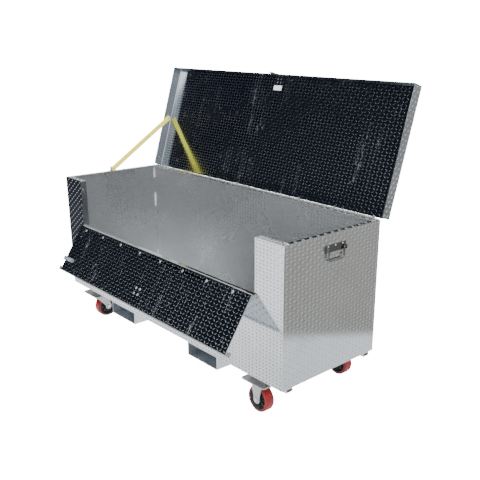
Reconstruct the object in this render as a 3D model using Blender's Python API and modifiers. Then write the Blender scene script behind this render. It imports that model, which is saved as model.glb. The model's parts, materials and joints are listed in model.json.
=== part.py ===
"""Rolling tool box: a long sheet-metal chest with a lift-up lid, a drop-down front door,
fork pockets under the floor and four casters.

Frame: X runs along the length, Y from front to back, Z up. The origin is the centre of the
floor pan's upper face. The lid rests open against its strap and the door hangs on its stops.
"""
import math

import bmesh
import bpy
from mathutils import Matrix, Vector

# ---------------------------------------------------------------- driving dimensions (metres)
LENGTH = 1.800
DEPTH = 0.600
HEIGHT = 0.640
SHEET = 0.003
GAP = 0.0003
RUN = 0.0015                # running clearance between parts that move past each other

POST = 0.173                # width of each front corner post
POST_RETURN = 0.033
END_FLANGE = 0.023
BACK_FLANGE = 0.030
SILL_FLANGE = 0.018

HINGE_OUT = 0.0065          # hinge axes stand this far outside the wall
BARREL = 0.004              # outer radius of the hinge knuckles
BORE = 0.0024
PIN = 0.0020
LEAF = 0.003
LEAF_WIDTH = 0.030
KNUCKLES = 7

DOOR_HINGE = 0.386          # height of the door hinge above the bottom edge
DOOR = 0.272                # length of the door from hinge axis to free edge
DOOR_OPEN = math.radians(147)
LID_SKIRT = 0.056
LID_RISE = 0.052            # top of the lid above the rim
LID_OPEN = math.radians(-107)
LID_SIDE = 0.005            # lid skirts stand this far outside the walls
LID_FRONT = 0.009

POCKET_X = 0.352
POCKET_WIDTH = 0.226
POCKET_BOTTOM = -0.070
RAIL_DEEP = 0.018
RAIL_WIDE = 0.038
RAIL_INSET = 0.027

WHEEL = 0.0625
WHEEL_WIDE = 0.048
WHEEL_SIDES = 24
AXLE_DROP = 0.092           # from the underside of the rails to the axle
CASTER_Y = 0.262
SWIVEL_X = -0.690
RIGID_X = 0.730
TRAIL = 0.045
PLATE = (0.150, 0.114, 0.005)
FORK_SHEET = 0.004
AXLE = 0.006

HANDLE_Z = 0.567
HANDLE_SPAN = 0.095
HANDLE_DROP = 0.047
WIRE = 0.004

STRAP_WIDE = 0.025
STRAP_THICK = 0.0015

# ---------------------------------------------------------------- derived places
X1 = LENGTH / 2
Y1 = DEPTH / 2
BOTTOM = -SHEET
RIM = BOTTOM + HEIGHT
SILL = BOTTOM + DOOR_HINGE
RAIL_BOTTOM = BOTTOM - GAP - RAIL_DEEP
AXLE_Z = RAIL_BOTTOM - AXLE_DROP
POST_X = X1 - POST
DOOR_AXIS = Vector((0, -Y1 - HINGE_OUT, SILL))
LID_AXIS = Vector((0, Y1 + HINGE_OUT, RIM))
DOOR_TOP = SILL + DOOR
LID_TOP = RIM + LID_RISE
LID_BOTTOM = LID_TOP - LID_SKIRT
BOLT_Z = SILL + 0.205
LATCH_Z = SILL + 0.197
HALF_DOOR = POST_X - RUN
RIVET_PITCH = 0.1813
RIVET_FIRST = -0.655
RIVET_COUNT = 8
STRAP_WALL = Vector((-0.8690, -0.010, RIM + 0.016))
STRAP_LID = Vector((-0.8982, Y1 + HINGE_OUT - 0.304, RIM + 0.028))

for old in list(bpy.data.objects):
    bpy.data.objects.remove(old)

PARTS = bpy.data.collections.new("rolling_tool_box")
bpy.context.scene.collection.children.link(PARTS)


# ---------------------------------------------------------------- materials
def finish(name, colour, roughness, metallic):
    """One Principled material."""
    material = bpy.data.materials.new(name)
    material.use_nodes = True
    shader = material.node_tree.nodes["Principled BSDF"]
    shader.inputs["Base Color"].default_value = (*colour, 1.0)
    shader.inputs["Roughness"].default_value = roughness
    shader.inputs["Metallic"].default_value = metallic
    return material


TREAD_PLATE = finish("tread_plate", (0.72, 0.74, 0.76), 0.25, 1.0)
PLAIN_SHEET = finish("plain_sheet", (0.62, 0.64, 0.66), 0.35, 1.0)
ZINC = finish("zinc_steel", (0.62, 0.63, 0.62), 0.40, 1.0)
CHROME = finish("chrome_steel", (0.80, 0.80, 0.80), 0.12, 1.0)
RED_TYRE = finish("red_tyre", (0.62, 0.02, 0.03), 0.35, 0.0)
DARK_HUB = finish("dark_hub", (0.03, 0.035, 0.04), 0.50, 0.0)
WEBBING = finish("webbing", (0.85, 0.82, 0.25), 0.80, 0.0)
WHITE = finish("white_label", (0.85, 0.85, 0.83), 0.50, 0.0)


# ---------------------------------------------------------------- shape helpers
def to_mesh(bm):
    """A new mesh from a bmesh, its faces turned outwards."""
    bmesh.ops.recalc_face_normals(bm, faces=bm.faces)
    mesh = bpy.data.meshes.new("shape")
    bm.to_mesh(mesh)
    bm.free()
    return mesh


def read_and_drop(*objects):
    """The first object's evaluated mesh, after which all the objects are removed."""
    bpy.context.view_layer.update()
    graph = bpy.context.evaluated_depsgraph_get()
    mesh = bpy.data.meshes.new_from_object(objects[0].evaluated_get(graph))
    for item in objects:
        bpy.data.objects.remove(item)
    return mesh


def scratch(data):
    """A temporary object that holds a mesh or a curve while it is worked on."""
    item = bpy.data.objects.new("scratch", data)
    PARTS.objects.link(item)
    return item


def box(lo, hi):
    """An axis-aligned block between two corners."""
    low, high = Vector(lo), Vector(hi)
    low, high = Vector(map(min, low, high)), Vector(map(max, low, high))
    bm = bmesh.new()
    place = Matrix.LocRotScale((low + high) / 2, None, high - low)
    bmesh.ops.create_cube(bm, size=1.0, matrix=place)
    return to_mesh(bm)


def rod(start, end, radius, segments=16):
    """A round bar between two points."""
    start, end = Vector(start), Vector(end)
    turn = (end - start).to_track_quat("Z", "Y").to_matrix().to_4x4()
    place = Matrix.Translation((start + end) / 2) @ turn
    bm = bmesh.new()
    bmesh.ops.create_cone(bm, cap_ends=True, segments=segments, radius1=radius, radius2=radius,
                          depth=(end - start).length, matrix=place)
    return to_mesh(bm)


def rounded_plate(centre, size, radius):
    """A flat plate with rounded vertical corners."""
    item = scratch(box((-size[0] / 2, -size[1] / 2, -size[2] / 2),
                       (size[0] / 2, size[1] / 2, size[2] / 2)))
    weights = item.data.attributes.new("bevel_weight_edge", "FLOAT", "EDGE")
    for edge in item.data.edges:
        ends = [item.data.vertices[i].co for i in edge.vertices]
        if abs(ends[0].z - ends[1].z) > size[2] / 2:
            weights.data[edge.index].value = 1.0
    bevel = item.modifiers.new("Corners", "BEVEL")
    bevel.limit_method = "WEIGHT"
    bevel.width = radius
    bevel.segments = 4
    mesh = read_and_drop(item)
    mesh.transform(Matrix.Translation(centre))
    return mesh


def sheet_walls(lo, hi, open_sides, thickness=SHEET):
    """A box of sheet with some sides left out, its thickness going inwards."""
    bm = bmesh.new()
    low, high = Vector(lo), Vector(hi)
    bmesh.ops.create_cube(bm, size=1.0,
                          matrix=Matrix.LocRotScale((low + high) / 2, None, high - low))
    bm.normal_update()
    missing = [f for f in bm.faces if any(f.normal.dot(Vector(s)) > 0.9 for s in open_sides)]
    bmesh.ops.delete(bm, geom=missing, context="FACES")
    mesh = bpy.data.meshes.new("shape")
    bm.to_mesh(mesh)
    bm.free()
    return thicken(mesh, thickness)


def thicken(mesh, thickness):
    """Solidify an open surface to the inner side of its faces."""
    item = scratch(mesh)
    shell = item.modifiers.new("Sheet", "SOLIDIFY")
    shell.thickness = thickness
    shell.offset = -1.0
    shell.use_even_offset = True
    return read_and_drop(item)


def bent_sheet(line, start, length, inner_side):
    """A sheet folded along a line of points and drawn out by a length vector."""
    bm = bmesh.new()
    corners = [bm.verts.new(Vector(p) + Vector(start)) for p in line]
    folds = [bm.edges.new(pair) for pair in zip(corners, corners[1:])]
    drawn = bmesh.ops.extrude_edge_only(bm, edges=folds)["geom"]
    moved = [v for v in drawn if isinstance(v, bmesh.types.BMVert)]
    bmesh.ops.translate(bm, verts=moved, vec=Vector(length))
    bmesh.ops.recalc_face_normals(bm, faces=bm.faces)
    bm.faces.ensure_lookup_table()
    bm.normal_update()
    first = bm.faces[0]
    if first.normal.dot(Vector(inner_side) - first.calc_center_median()) > 0:
        bmesh.ops.reverse_faces(bm, faces=bm.faces)
    mesh = bpy.data.meshes.new("shape")
    bm.to_mesh(mesh)
    bm.free()
    return thicken(mesh, SHEET)


def flat_plate(outline, thickness, place):
    """A plate with the given outline in its own XY plane, centred on its thickness."""
    curve = bpy.data.curves.new("outline", "CURVE")
    curve.dimensions = "2D"
    curve.fill_mode = "BOTH"
    curve.extrude = thickness / 2
    spline = curve.splines.new("POLY")
    spline.points.add(len(outline) - 1)
    for point, (x, y) in zip(spline.points, outline):
        point.co = (x, y, 0, 1)
    spline.use_cyclic_u = True
    mesh = read_and_drop(scratch(curve))
    bm = bmesh.new()
    bm.from_mesh(mesh)
    bmesh.ops.remove_doubles(bm, verts=bm.verts, dist=0.00001)
    mesh = to_mesh(bm)
    mesh.transform(place)
    return mesh


def turned(profile, place, segments=WHEEL_SIDES):
    """A closed profile of (radius, height) points turned about the Z axis."""
    bm = bmesh.new()
    ring = [bm.verts.new((radius, 0, height)) for radius, height in profile]
    for pair in zip(ring, ring[1:] + ring[:1]):
        bm.edges.new(pair)
    mesh = bpy.data.meshes.new("shape")
    bm.to_mesh(mesh)
    bm.free()
    item = scratch(mesh)
    screw = item.modifiers.new("Turn", "SCREW")
    screw.axis = "Z"
    screw.angle = math.tau
    screw.steps = segments
    screw.render_steps = segments
    screw.use_merge_vertices = True
    screw.merge_threshold = 0.00001
    mesh = read_and_drop(item)
    bm = bmesh.new()
    bm.from_mesh(mesh)
    mesh = to_mesh(bm)
    mesh.transform(place)
    return mesh


def wire(points, radius):
    """A round wire along a line of points, with filled ends."""
    curve = bpy.data.curves.new("wire", "CURVE")
    curve.dimensions = "3D"
    curve.bevel_depth = radius
    curve.bevel_resolution = 2
    curve.use_fill_caps = True
    spline = curve.splines.new("POLY")
    spline.points.add(len(points) - 1)
    for point, co in zip(spline.points, points):
        point.co = (*co, 1)
    mesh = read_and_drop(scratch(curve))
    bm = bmesh.new()
    bm.from_mesh(mesh)
    bmesh.ops.remove_doubles(bm, verts=bm.verts, dist=0.00001)
    return to_mesh(bm)


def combine(base, add=(), cut=()):
    """Solids joined into the base, then solids cut out of it."""
    body = scratch(base)
    tools = []
    for mesh, operation in [(m, "UNION") for m in add] + [(m, "DIFFERENCE") for m in cut]:
        tool = scratch(mesh)
        step = body.modifiers.new(operation, "BOOLEAN")
        step.operation = operation
        step.solver = "EXACT"
        step.object = tool
        tools.append(tool)
    return read_and_drop(body, *tools)


def part(name, mesh, material, pivot=None):
    """A finished sub-part. A pivot is the empty on the joint axis that carries it."""
    mesh.name = name
    mesh.materials.clear()
    mesh.materials.append(material)
    mesh.shade_smooth()
    mesh.set_sharp_from_angle(angle=math.radians(35))
    item = bpy.data.objects.new(name, mesh)
    PARTS.objects.link(item)
    if pivot is not None:
        item.parent = pivot
        item.matrix_parent_inverse = Matrix.Translation(-pivot.location)
    return item


def pivot_empty(name, place, turn=0.0):
    """An empty on a joint axis, turned about X from closed to its rest position."""
    item = bpy.data.objects.new(name, None)
    item.location = place
    item.rotation_euler = (turn, 0, 0)
    PARTS.objects.link(item)
    return item


# ---------------------------------------------------------------- chest
def make_chest():
    """Floor, walls, posts and their caps."""
    inner_x = X1 - SHEET - GAP
    inner_y = Y1 - SHEET - GAP
    part("floor_pan", box((-inner_x, -inner_y, BOTTOM), (inner_x, inner_y, 0)), PLAIN_SHEET)

    back = [(0, Y1, BOTTOM), (0, Y1, RIM), (0, Y1 - BACK_FLANGE, RIM)]
    part("back_wall", bent_sheet(back, (-inner_x, 0, 0), (2 * inner_x, 0, 0), (0, 0, 0)),
         PLAIN_SHEET)

    sill_top = SILL - 0.002
    sill = [(0, -Y1, BOTTOM), (0, -Y1, sill_top), (0, -Y1 + SILL_FLANGE, sill_top)]
    sill_half = POST_X - GAP
    part("lower_front_wall", bent_sheet(sill, (-sill_half, 0, 0), (2 * sill_half, 0, 0), (0, 0, 0)),
         TREAD_PLATE)

    cap_back = -Y1 + POST_RETURN
    for side, s in (("left", -1), ("right", 1)):
        wall = [(s * X1, 0, BOTTOM), (s * X1, 0, RIM), (s * (X1 - END_FLANGE), 0, RIM)]
        sheet = bent_sheet(wall, (0, -inner_y, 0), (0, inner_y + Y1, 0), (0, 0, 0))
        inside = X1 - SHEET
        front_notch = box((s * 0.8, -Y1, RIM - 0.01), (s * inside, cap_back + GAP, RIM + 0.01))
        back_notch = box((s * 0.8, Y1 - BACK_FLANGE - GAP, RIM - 0.01),
                         (s * inside, Y1 + 0.01, RIM + 0.01))
        part(f"{side}_wall", combine(sheet, cut=(front_notch, back_notch)), TREAD_PLATE)

        fold = [(s * X1, -Y1, 0), (s * POST_X, -Y1, 0), (s * POST_X, cap_back, 0)]
        sheet = bent_sheet(fold, (0, 0, BOTTOM), (0, 0, HEIGHT), (s * X1, 0, 0))
        floor_notch = box((s * (POST_X - 0.01), -inner_y - GAP, BOTTOM - 0.01),
                          (s * (POST_X + 0.01), 0, GAP))
        cuts = [floor_notch]
        if s < 0:
            eye = Vector((-POST_X, -Y1 + SHEET + 0.008, BOLT_Z))
            cuts.append(rod(eye - Vector((0.01, 0, 0)), eye + Vector((0.01, 0, 0)), 0.0055))
        part(f"{side}_front_post", combine(sheet, cut=cuts), TREAD_PLATE)
        part(f"{side}_post_cap",
             box((s * (POST_X + SHEET + GAP), -inner_y, RIM - SHEET), (s * inner_x, cap_back, RIM)),
             PLAIN_SHEET)


# ---------------------------------------------------------------- underside
def make_underside():
    """Fork pockets and the rails that carry the casters."""
    top = BOTTOM - GAP
    half = POCKET_WIDTH / 2
    for side, s in (("left", -1), ("right", 1)):
        lo = (s * POCKET_X - half, -Y1, POCKET_BOTTOM)
        hi = (s * POCKET_X + half, Y1, top)
        part(f"{side}_fork_pocket", sheet_walls(lo, hi, ((0, 1, 0), (0, -1, 0))), PLAIN_SHEET)

    inner, outer = POCKET_X - half - GAP, POCKET_X + half + GAP
    end = X1 - 0.002
    for row, s in (("front", -1), ("back", 1)):
        near = s * (Y1 - RAIL_INSET)
        far = s * (Y1 - RAIL_INSET - RAIL_WIDE)
        for place, x0, x1 in (("left", -end, -outer), ("middle", -inner, inner),
                              ("right", outer, end)):
            lo = (x0, min(near, far), RAIL_BOTTOM)
            hi = (x1, max(near, far), top)
            part(f"{row}_rail_{place}", sheet_walls(lo, hi, ((1, 0, 0), (-1, 0, 0))), ZINC)


# ---------------------------------------------------------------- casters
def fork_leg(top_from, top_to, top, trail, radius):
    """Outline of a fork leg: a wide top that narrows to a round end about the axle."""
    drop = AXLE_Z - top
    arc = [(trail + radius * math.cos(a), drop + radius * math.sin(a))
           for a in [math.radians(-200 + 22 * i) for i in range(11)]]
    return [(top_from, 0)] + arc + [(top_to, 0)]


def make_wheel(name, centre, axis, pivot):
    """Tyre and hub turned about the axle, each in its own node."""
    turn = Vector(axis).to_track_quat("Z", "Y").to_matrix().to_4x4()
    flat_down = Matrix.Rotation(math.pi / WHEEL_SIDES, 4, "Z")
    place = Matrix.Translation(centre) @ turn @ flat_down
    half = WHEEL_WIDE / 2
    edge = 0.006
    rim = WHEEL - 0.011
    tyre = [(WHEEL, -half + edge), (WHEEL, half - edge), (WHEEL - edge * 0.4, half - edge * 0.3),
            (WHEEL - edge, half), (rim, half), (rim, -half), (WHEEL - edge, -half),
            (WHEEL - edge * 0.4, -half + edge * 0.3)]
    part(f"{name}_tyre", turned(tyre, place), RED_TYRE, pivot)
    bore = AXLE + 0.0004
    seat = rim - GAP
    lip = half - 0.002
    web = 0.008
    boss = half - 0.0005
    hub = [(seat, lip), (seat, -lip), (seat - 0.006, -lip), (seat - 0.010, -web),
           (0.020, -web), (0.018, -boss), (bore, -boss), (bore, boss), (0.018, boss),
           (0.020, web), (seat - 0.010, web), (seat - 0.006, lip)]
    part(f"{name}_hub", turned(hub, place), DARK_HUB, pivot)


def make_axle(name, centre, axis, pivot=None):
    """A bolt through the fork with a head at one end and a nut at the other."""
    axis = Vector(axis)
    reach = WHEEL_WIDE / 2 + 0.0015 + FORK_SHEET + GAP
    shank = rod(centre - axis * (reach + 0.006), centre + axis * (reach + 0.006), AXLE)
    head = rod(centre + axis * reach, centre + axis * (reach + 0.006), 0.010, 6)
    nut = rod(centre - axis * reach, centre - axis * (reach + 0.006), 0.010, 6)
    part(f"{name}_axle", combine(shank, add=(head, nut)), ZINC, pivot)


def make_rigid_caster(name, y):
    """A top plate with two welded legs. The wheel rolls along the length of the chest."""
    centre = Vector((RIGID_X, y, 0))
    plate_top = RAIL_BOTTOM - GAP
    plate = rounded_plate(centre + Vector((0, 0, plate_top - PLATE[2] / 2)), PLATE, 0.012)
    leg_top = plate_top - PLATE[2] + 0.001
    outline = fork_leg(-0.036, 0.036, leg_top, 0.0, 0.020)
    legs = []
    for s in (-1, 1):
        offset = s * (WHEEL_WIDE / 2 + 0.0015 + FORK_SHEET / 2)
        place = (Matrix.Translation(centre + Vector((0, offset, leg_top)))
                 @ Matrix.Rotation(math.radians(90), 4, "X"))
        legs.append(flat_plate(outline, FORK_SHEET, place))
    axle = Vector((RIGID_X, y, AXLE_Z))
    hole = rod(axle - Vector((0, 0.05, 0)), axle + Vector((0, 0.05, 0)), AXLE + GAP)
    bolts = plate_bolts(centre, plate_top)
    part(f"{name}_caster_frame", combine(plate, add=legs + bolts, cut=(hole,)), ZINC)
    make_axle(name, axle, (0, -1, 0))
    hub_pivot = pivot_empty(f"{name}_wheel_axis", axle)
    make_wheel(name, axle, (0, 1, 0), hub_pivot)


def plate_bolts(centre, plate_top):
    """Four bolt heads under the corners of a caster plate."""
    bolts = []
    under = plate_top - PLATE[2]
    for sx in (-1, 1):
        for sy in (-1, 1):
            at = centre + Vector((sx * 0.056, sy * 0.042, under + 0.001))
            bolts.append(rod(at, at - Vector((0, 0, 0.006)), 0.0075, 6))
    return bolts


def make_swivel_caster(name, y):
    """A top plate with a kingpin, and a fork that turns below it and trails to the back."""
    centre = Vector((SWIVEL_X, y, 0))
    plate_top = RAIL_BOTTOM - GAP
    under = plate_top - PLATE[2]
    race_bottom = under - 0.012
    crown = race_bottom - 0.005
    plate = rounded_plate(centre + Vector((0, 0, plate_top - PLATE[2] / 2)), PLATE, 0.012)
    kingpin = rod(centre + Vector((0, 0, under + 0.001)), centre + Vector((0, 0, crown - 0.006)), 0.006)
    nut = rod(centre + Vector((0, 0, crown - 0.0006)), centre + Vector((0, 0, crown - 0.006)), 0.010, 6)
    part(f"{name}_caster_plate",
         combine(plate, add=[kingpin, nut] + plate_bolts(centre, plate_top)), ZINC)

    turn = pivot_empty(f"{name}_swivel_axis", centre + Vector((0, 0, AXLE_Z)))
    race = rod(centre + Vector((0, 0, under - 0.0006)), centre + Vector((0, 0, race_bottom)), 0.032, 24)
    leg_out = WHEEL_WIDE / 2 + 0.0015 + FORK_SHEET
    top_plate = box(centre + Vector((-leg_out, -0.030, crown)),
                    centre + Vector((leg_out, 0.040, race_bottom + 0.001)))
    outline = fork_leg(-0.030, 0.040, crown + 0.002, TRAIL, 0.018)
    legs = []
    for s in (-1, 1):
        offset = s * (leg_out - FORK_SHEET / 2)
        place = (Matrix.Translation(centre + Vector((offset, 0, crown + 0.002)))
                 @ Matrix.Rotation(math.radians(90), 4, "Z")
                 @ Matrix.Rotation(math.radians(90), 4, "X"))
        legs.append(flat_plate(outline, FORK_SHEET, place))
    axle = centre + Vector((0, TRAIL, AXLE_Z))
    hole = rod(axle - Vector((0.05, 0, 0)), axle + Vector((0.05, 0, 0)), AXLE + GAP)
    bore = rod(centre + Vector((0, 0, under + 0.01)), centre + Vector((0, 0, crown - 0.01)), 0.0065)
    part(f"{name}_swivel_fork", combine(race, add=[top_plate] + legs, cut=(hole, bore)), ZINC, turn)
    make_axle(name, axle, (1, 0, 0), turn)
    make_wheel(name, axle, (1, 0, 0), pivot_empty(f"{name}_wheel_axis", axle))


# ---------------------------------------------------------------- hinges
def hinge_leaf(axis, wall_side, up, half_length, moving):
    """One leaf of a long hinge with every second knuckle. The leaf lies on the wall face."""
    face = axis.y + wall_side * (HINGE_OUT - GAP)
    front = face - wall_side * LEAF
    near = axis.z + up * 0.005
    far = axis.z + up * LEAF_WIDTH
    plate = box((-half_length, face, near), (half_length, front, far))
    pitch = 2 * half_length / KNUCKLES
    pieces = []
    for i in range(1 if moving else 0, KNUCKLES, 2):
        x0 = -half_length + i * pitch + 0.0005
        x1 = x0 + pitch - 0.001
        pieces.append(box((x0 + RUN, face, axis.z),
                          (x1 - RUN, front - wall_side * 0.0005, near + up * 0.001)))
        pieces.append(rod((x0, axis.y, axis.z), (x1, axis.y, axis.z), BARREL, 12))
    bore = rod((-half_length - 0.01, axis.y, axis.z), (half_length + 0.01, axis.y, axis.z), BORE, 8)
    return combine(plate, add=pieces, cut=(bore,))


def make_hinges(lid_pivot, door_pivot):
    """Leaves and pins of the lid hinge and the door hinge."""
    lid_half = X1 - 0.012
    part("lid_hinge_body_leaf", hinge_leaf(LID_AXIS, -1, -1, lid_half, False), ZINC)
    part("lid_hinge_lid_leaf", hinge_leaf(LID_AXIS, -1, 1, lid_half, True), ZINC, lid_pivot)
    pin_end = Vector((lid_half, 0, 0))
    part("lid_hinge_pin", rod(LID_AXIS - pin_end, LID_AXIS + pin_end, PIN, 12), ZINC)
    door_half = HALF_DOOR - 0.004
    part("door_hinge_body_leaf", hinge_leaf(DOOR_AXIS, 1, -1, door_half, False), ZINC)
    part("door_hinge_door_leaf", hinge_leaf(DOOR_AXIS, 1, 1, door_half, True), ZINC, door_pivot)
    pin_end = Vector((door_half, 0, 0))
    part("door_hinge_pin", rod(DOOR_AXIS - pin_end, DOOR_AXIS + pin_end, PIN, 12), ZINC)


# ---------------------------------------------------------------- lid
def make_lid(pivot):
    """Shallow tray with its striker and label, drawn closed and turned open by the pivot."""
    lo = (-X1 - LID_SIDE, -Y1 - LID_FRONT, LID_BOTTOM)
    hi = (X1 + LID_SIDE, Y1, LID_TOP)
    tray = sheet_walls(lo, hi, ((0, 0, -1),))
    inside = X1 + LID_SIDE - SHEET
    rear_gap = box((-inside, Y1 - 0.01, LID_BOTTOM - 0.01), (inside, Y1 + 0.01, RIM + RUN))
    part("lid_tray", combine(tray, cut=(rear_gap,)), TREAD_PLATE, pivot)

    skirt_face = -Y1 - LID_FRONT - GAP
    plate = box((-0.030, skirt_face, LID_BOTTOM + 0.004), (0.030, skirt_face - 0.003, LID_TOP - 0.010))
    tab = box((-0.018, skirt_face, LID_BOTTOM - 0.027), (0.018, skirt_face - 0.003, LID_BOTTOM + 0.005))
    part("lid_striker", combine(plate, add=(tab,)), ZINC, pivot)

    under = LID_TOP - SHEET - GAP
    part("lid_label_plate",
         box((-0.030, -Y1 + 0.040, under - 0.001), (0.030, -Y1 + 0.066, under)), WHITE, pivot)


# ---------------------------------------------------------------- door
def make_door(pivot):
    """Door panel, edge strip, latch plate, bolt housing, drawn closed and hung by the pivot."""
    panel = box((-HALF_DOOR, -Y1, SILL + RUN), (HALF_DOOR, -Y1 + SHEET, DOOR_TOP))
    inside = -Y1 + SHEET
    heads = []
    for i in range(RIVET_COUNT):
        x = RIVET_FIRST + i * RIVET_PITCH
        heads.append(rod((x, inside - 0.001, SILL + 0.020), (x, inside + 0.0018, SILL + 0.020), 0.005, 8))
    for x in (-0.0165, 0.0165):
        for z in (LATCH_Z - 0.014, LATCH_Z + 0.014):
            heads.append(rod((x, inside - 0.001, z), (x, inside + 0.0018, z), 0.005, 8))
    part("door_panel", combine(panel, add=heads), TREAD_PLATE, pivot)

    outside = -Y1 - GAP
    part("door_edge_strip",
         box((-HALF_DOOR - 0.028, outside - 0.003, DOOR_TOP - 0.016),
             (HALF_DOOR + 0.028, outside, DOOR_TOP + 0.005)), PLAIN_SHEET, pivot)

    plate = box((-0.032, outside, LATCH_Z - 0.026), (0.032, outside - 0.003, LATCH_Z + 0.026))
    stud = rod((0, outside - 0.002, LATCH_Z), (0, outside - 0.013, LATCH_Z), 0.008)
    neck = rod((0, outside - 0.012, LATCH_Z), (0, outside - 0.021, LATCH_Z), 0.005)
    cap = rod((0, outside - 0.0184, LATCH_Z), (0, outside - 0.021, LATCH_Z), 0.009)
    part("door_latch_plate", combine(plate, add=(stud, neck, cap)), ZINC, pivot)

    housing = box((-HALF_DOOR + 0.004, inside + GAP, BOLT_Z - 0.011),
                  (-HALF_DOOR + 0.058, inside + 0.016, BOLT_Z + 0.011))
    bolt_y = inside + 0.008
    bore = rod((-HALF_DOOR - 0.02, bolt_y, BOLT_Z), (-HALF_DOOR + 0.08, bolt_y, BOLT_Z), 0.0044)
    slot = box((-HALF_DOOR + 0.016, bolt_y, BOLT_Z - 0.0025),
               (-HALF_DOOR + 0.044, inside + 0.02, BOLT_Z + 0.0025))
    part("bolt_housing", combine(housing, cut=(bore, slot)), CHROME, pivot)


def make_door_bolt(pivot):
    """Sliding bolt with its thumb pin, at the left end of the door's inner face."""
    bolt_y = -Y1 + SHEET + 0.008
    shank = rod((-HALF_DOOR + 0.0005, bolt_y, BOLT_Z), (-HALF_DOOR + 0.072, bolt_y, BOLT_Z), 0.004)
    pin = rod((-HALF_DOOR + 0.040, bolt_y, BOLT_Z), (-HALF_DOOR + 0.040, bolt_y + 0.022, BOLT_Z), 0.002, 12)
    part("door_bolt", combine(shank, add=(pin,)), CHROME, pivot)


def make_latch_pawl(pivot):
    """Turning pawl on the latch stud, parked towards the hinge."""
    width, tip = 0.010, -0.042
    ends = [(0.012 * math.cos(a), 0.012 * math.sin(a))
            for a in [math.radians(-30 + 30 * i) for i in range(9)]]
    outline = ends + [(-width * 0.7, tip), (width * 0.7, tip)]
    centre = Vector((0, -Y1 - GAP - 0.0155, LATCH_Z))
    place = Matrix.Translation(centre) @ Matrix.Rotation(math.radians(90), 4, "X")
    blade = flat_plate(outline, 0.004, place)
    hole = rod(centre - Vector((0, 0.01, 0)), centre + Vector((0, 0.01, 0)), 0.0054)
    part("latch_pawl", combine(blade, cut=(hole,)), ZINC, pivot)


def make_door_stops():
    """Two brackets on the lower wall that the open door hangs against."""
    reach = 0.0385
    shelf_z = SILL - 0.050
    for side, s in (("left", -1), ("right", 1)):
        shelf = box((s * 0.50 - 0.015, -Y1 - GAP, shelf_z - SHEET),
                    (s * 0.50 + 0.015, DOOR_AXIS.y - reach, shelf_z))
        leg = box((s * 0.50 - 0.015, -Y1 - GAP, shelf_z - 0.030),
                  (s * 0.50 + 0.015, -Y1 - GAP - SHEET, shelf_z - 0.001))
        part(f"{side}_door_stop", combine(shelf, add=(leg,)), ZINC)


# ---------------------------------------------------------------- handles and strap
def make_handles():
    """A drop handle on each end wall."""
    half = HANDLE_SPAN / 2
    for side, s in (("left", -1), ("right", 1)):
        face = s * (X1 + GAP)
        axis_x = s * (X1 + 0.0090)
        plate = box((face, -half - 0.018, HANDLE_Z - 0.012),
                    (face + s * 0.002, half + 0.018, HANDLE_Z + 0.022))
        ears = []
        for e in (-1, 1):
            ears.append(box((face + s * 0.001, e * (half + 0.006), HANDLE_Z - 0.009),
                            (axis_x + s * 0.008, e * (half + 0.012), HANDLE_Z + 0.010)))
        bore = rod((axis_x, -half - 0.03, HANDLE_Z), (axis_x, half + 0.03, HANDLE_Z), WIRE + 0.0003)
        part(f"{side}_handle_plate", combine(plate, add=ears, cut=(bore,)), CHROME)

        corner = 0.012
        path = [(axis_x, -half - 0.014, HANDLE_Z), (axis_x, -half - 0.002, HANDLE_Z)]
        path += [(axis_x, -half, HANDLE_Z - 0.004)]
        for i in range(5):
            a = math.radians(22.5 * i)
            path.append((axis_x, -half + corner * (1 - math.cos(a)),
                         HANDLE_Z - HANDLE_DROP + corner * (1 - math.sin(a))))
        path += [(x, -y, z) for x, y, z in reversed(path)]
        pivot = pivot_empty(f"{side}_handle_axis", Vector((axis_x, 0, HANDLE_Z)))
        part(f"{side}_handle_bail", wire(path, WIRE), CHROME, pivot)


def make_strap(lid_pivot):
    """Lid stay strap with a bracket on the left wall and a bolted tab on the lid."""
    rest = Matrix.Translation(LID_AXIS) @ Matrix.Rotation(LID_OPEN, 4, "X") @ Matrix.Translation(-LID_AXIS)
    top = rest @ STRAP_LID
    low = STRAP_WALL
    along = (top - low).normalized()
    across = Vector((1, 0, 0)) - along * along.x
    across.normalize()
    wide = along.cross(across)
    basis = Matrix((across, wide, along)).transposed().to_4x4()
    length = (top - low).length + 0.016
    strip = box((-STRAP_THICK / 2, -STRAP_WIDE / 2, -length / 2),
                (STRAP_THICK / 2, STRAP_WIDE / 2, length / 2))
    strip.transform(Matrix.Translation((top + low) / 2) @ basis)
    part("lid_strap", strip, WEBBING)

    outer = -X1 + SHEET
    foot = box((outer, low.y - 0.018, RIM + GAP), (low.x - 0.0032, low.y + 0.018, RIM + GAP + 0.002))
    upright = box((low.x - 0.0052, low.y - 0.018, RIM + GAP), (low.x - 0.0032, low.y + 0.018, RIM + 0.030))
    part("strap_wall_bracket", combine(foot, add=(upright,)), ZINC)

    skirt = -X1 - LID_SIDE + SHEET + GAP
    tab = box((skirt, STRAP_LID.y - 0.014, STRAP_LID.z - 0.014),
              (skirt + 0.0015, STRAP_LID.y + 0.014, STRAP_LID.z + 0.014))
    part("strap_lid_tab", tab, ZINC, lid_pivot)


def make_all():
    """Every sub-part of the tool box."""
    lid_pivot = pivot_empty("lid_axis", LID_AXIS, LID_OPEN)
    door_pivot = pivot_empty("door_axis", DOOR_AXIS, DOOR_OPEN)
    make_chest()
    make_underside()
    make_rigid_caster("front_right", -CASTER_Y)
    make_rigid_caster("back_right", CASTER_Y)
    make_swivel_caster("front_left", -CASTER_Y)
    make_swivel_caster("back_left", CASTER_Y)
    make_hinges(lid_pivot, door_pivot)
    make_lid(lid_pivot)
    make_door(door_pivot)
    make_door_bolt(door_pivot)
    make_latch_pawl(door_pivot)
    make_door_stops()
    make_handles()
    make_strap(lid_pivot)


make_all()
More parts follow.
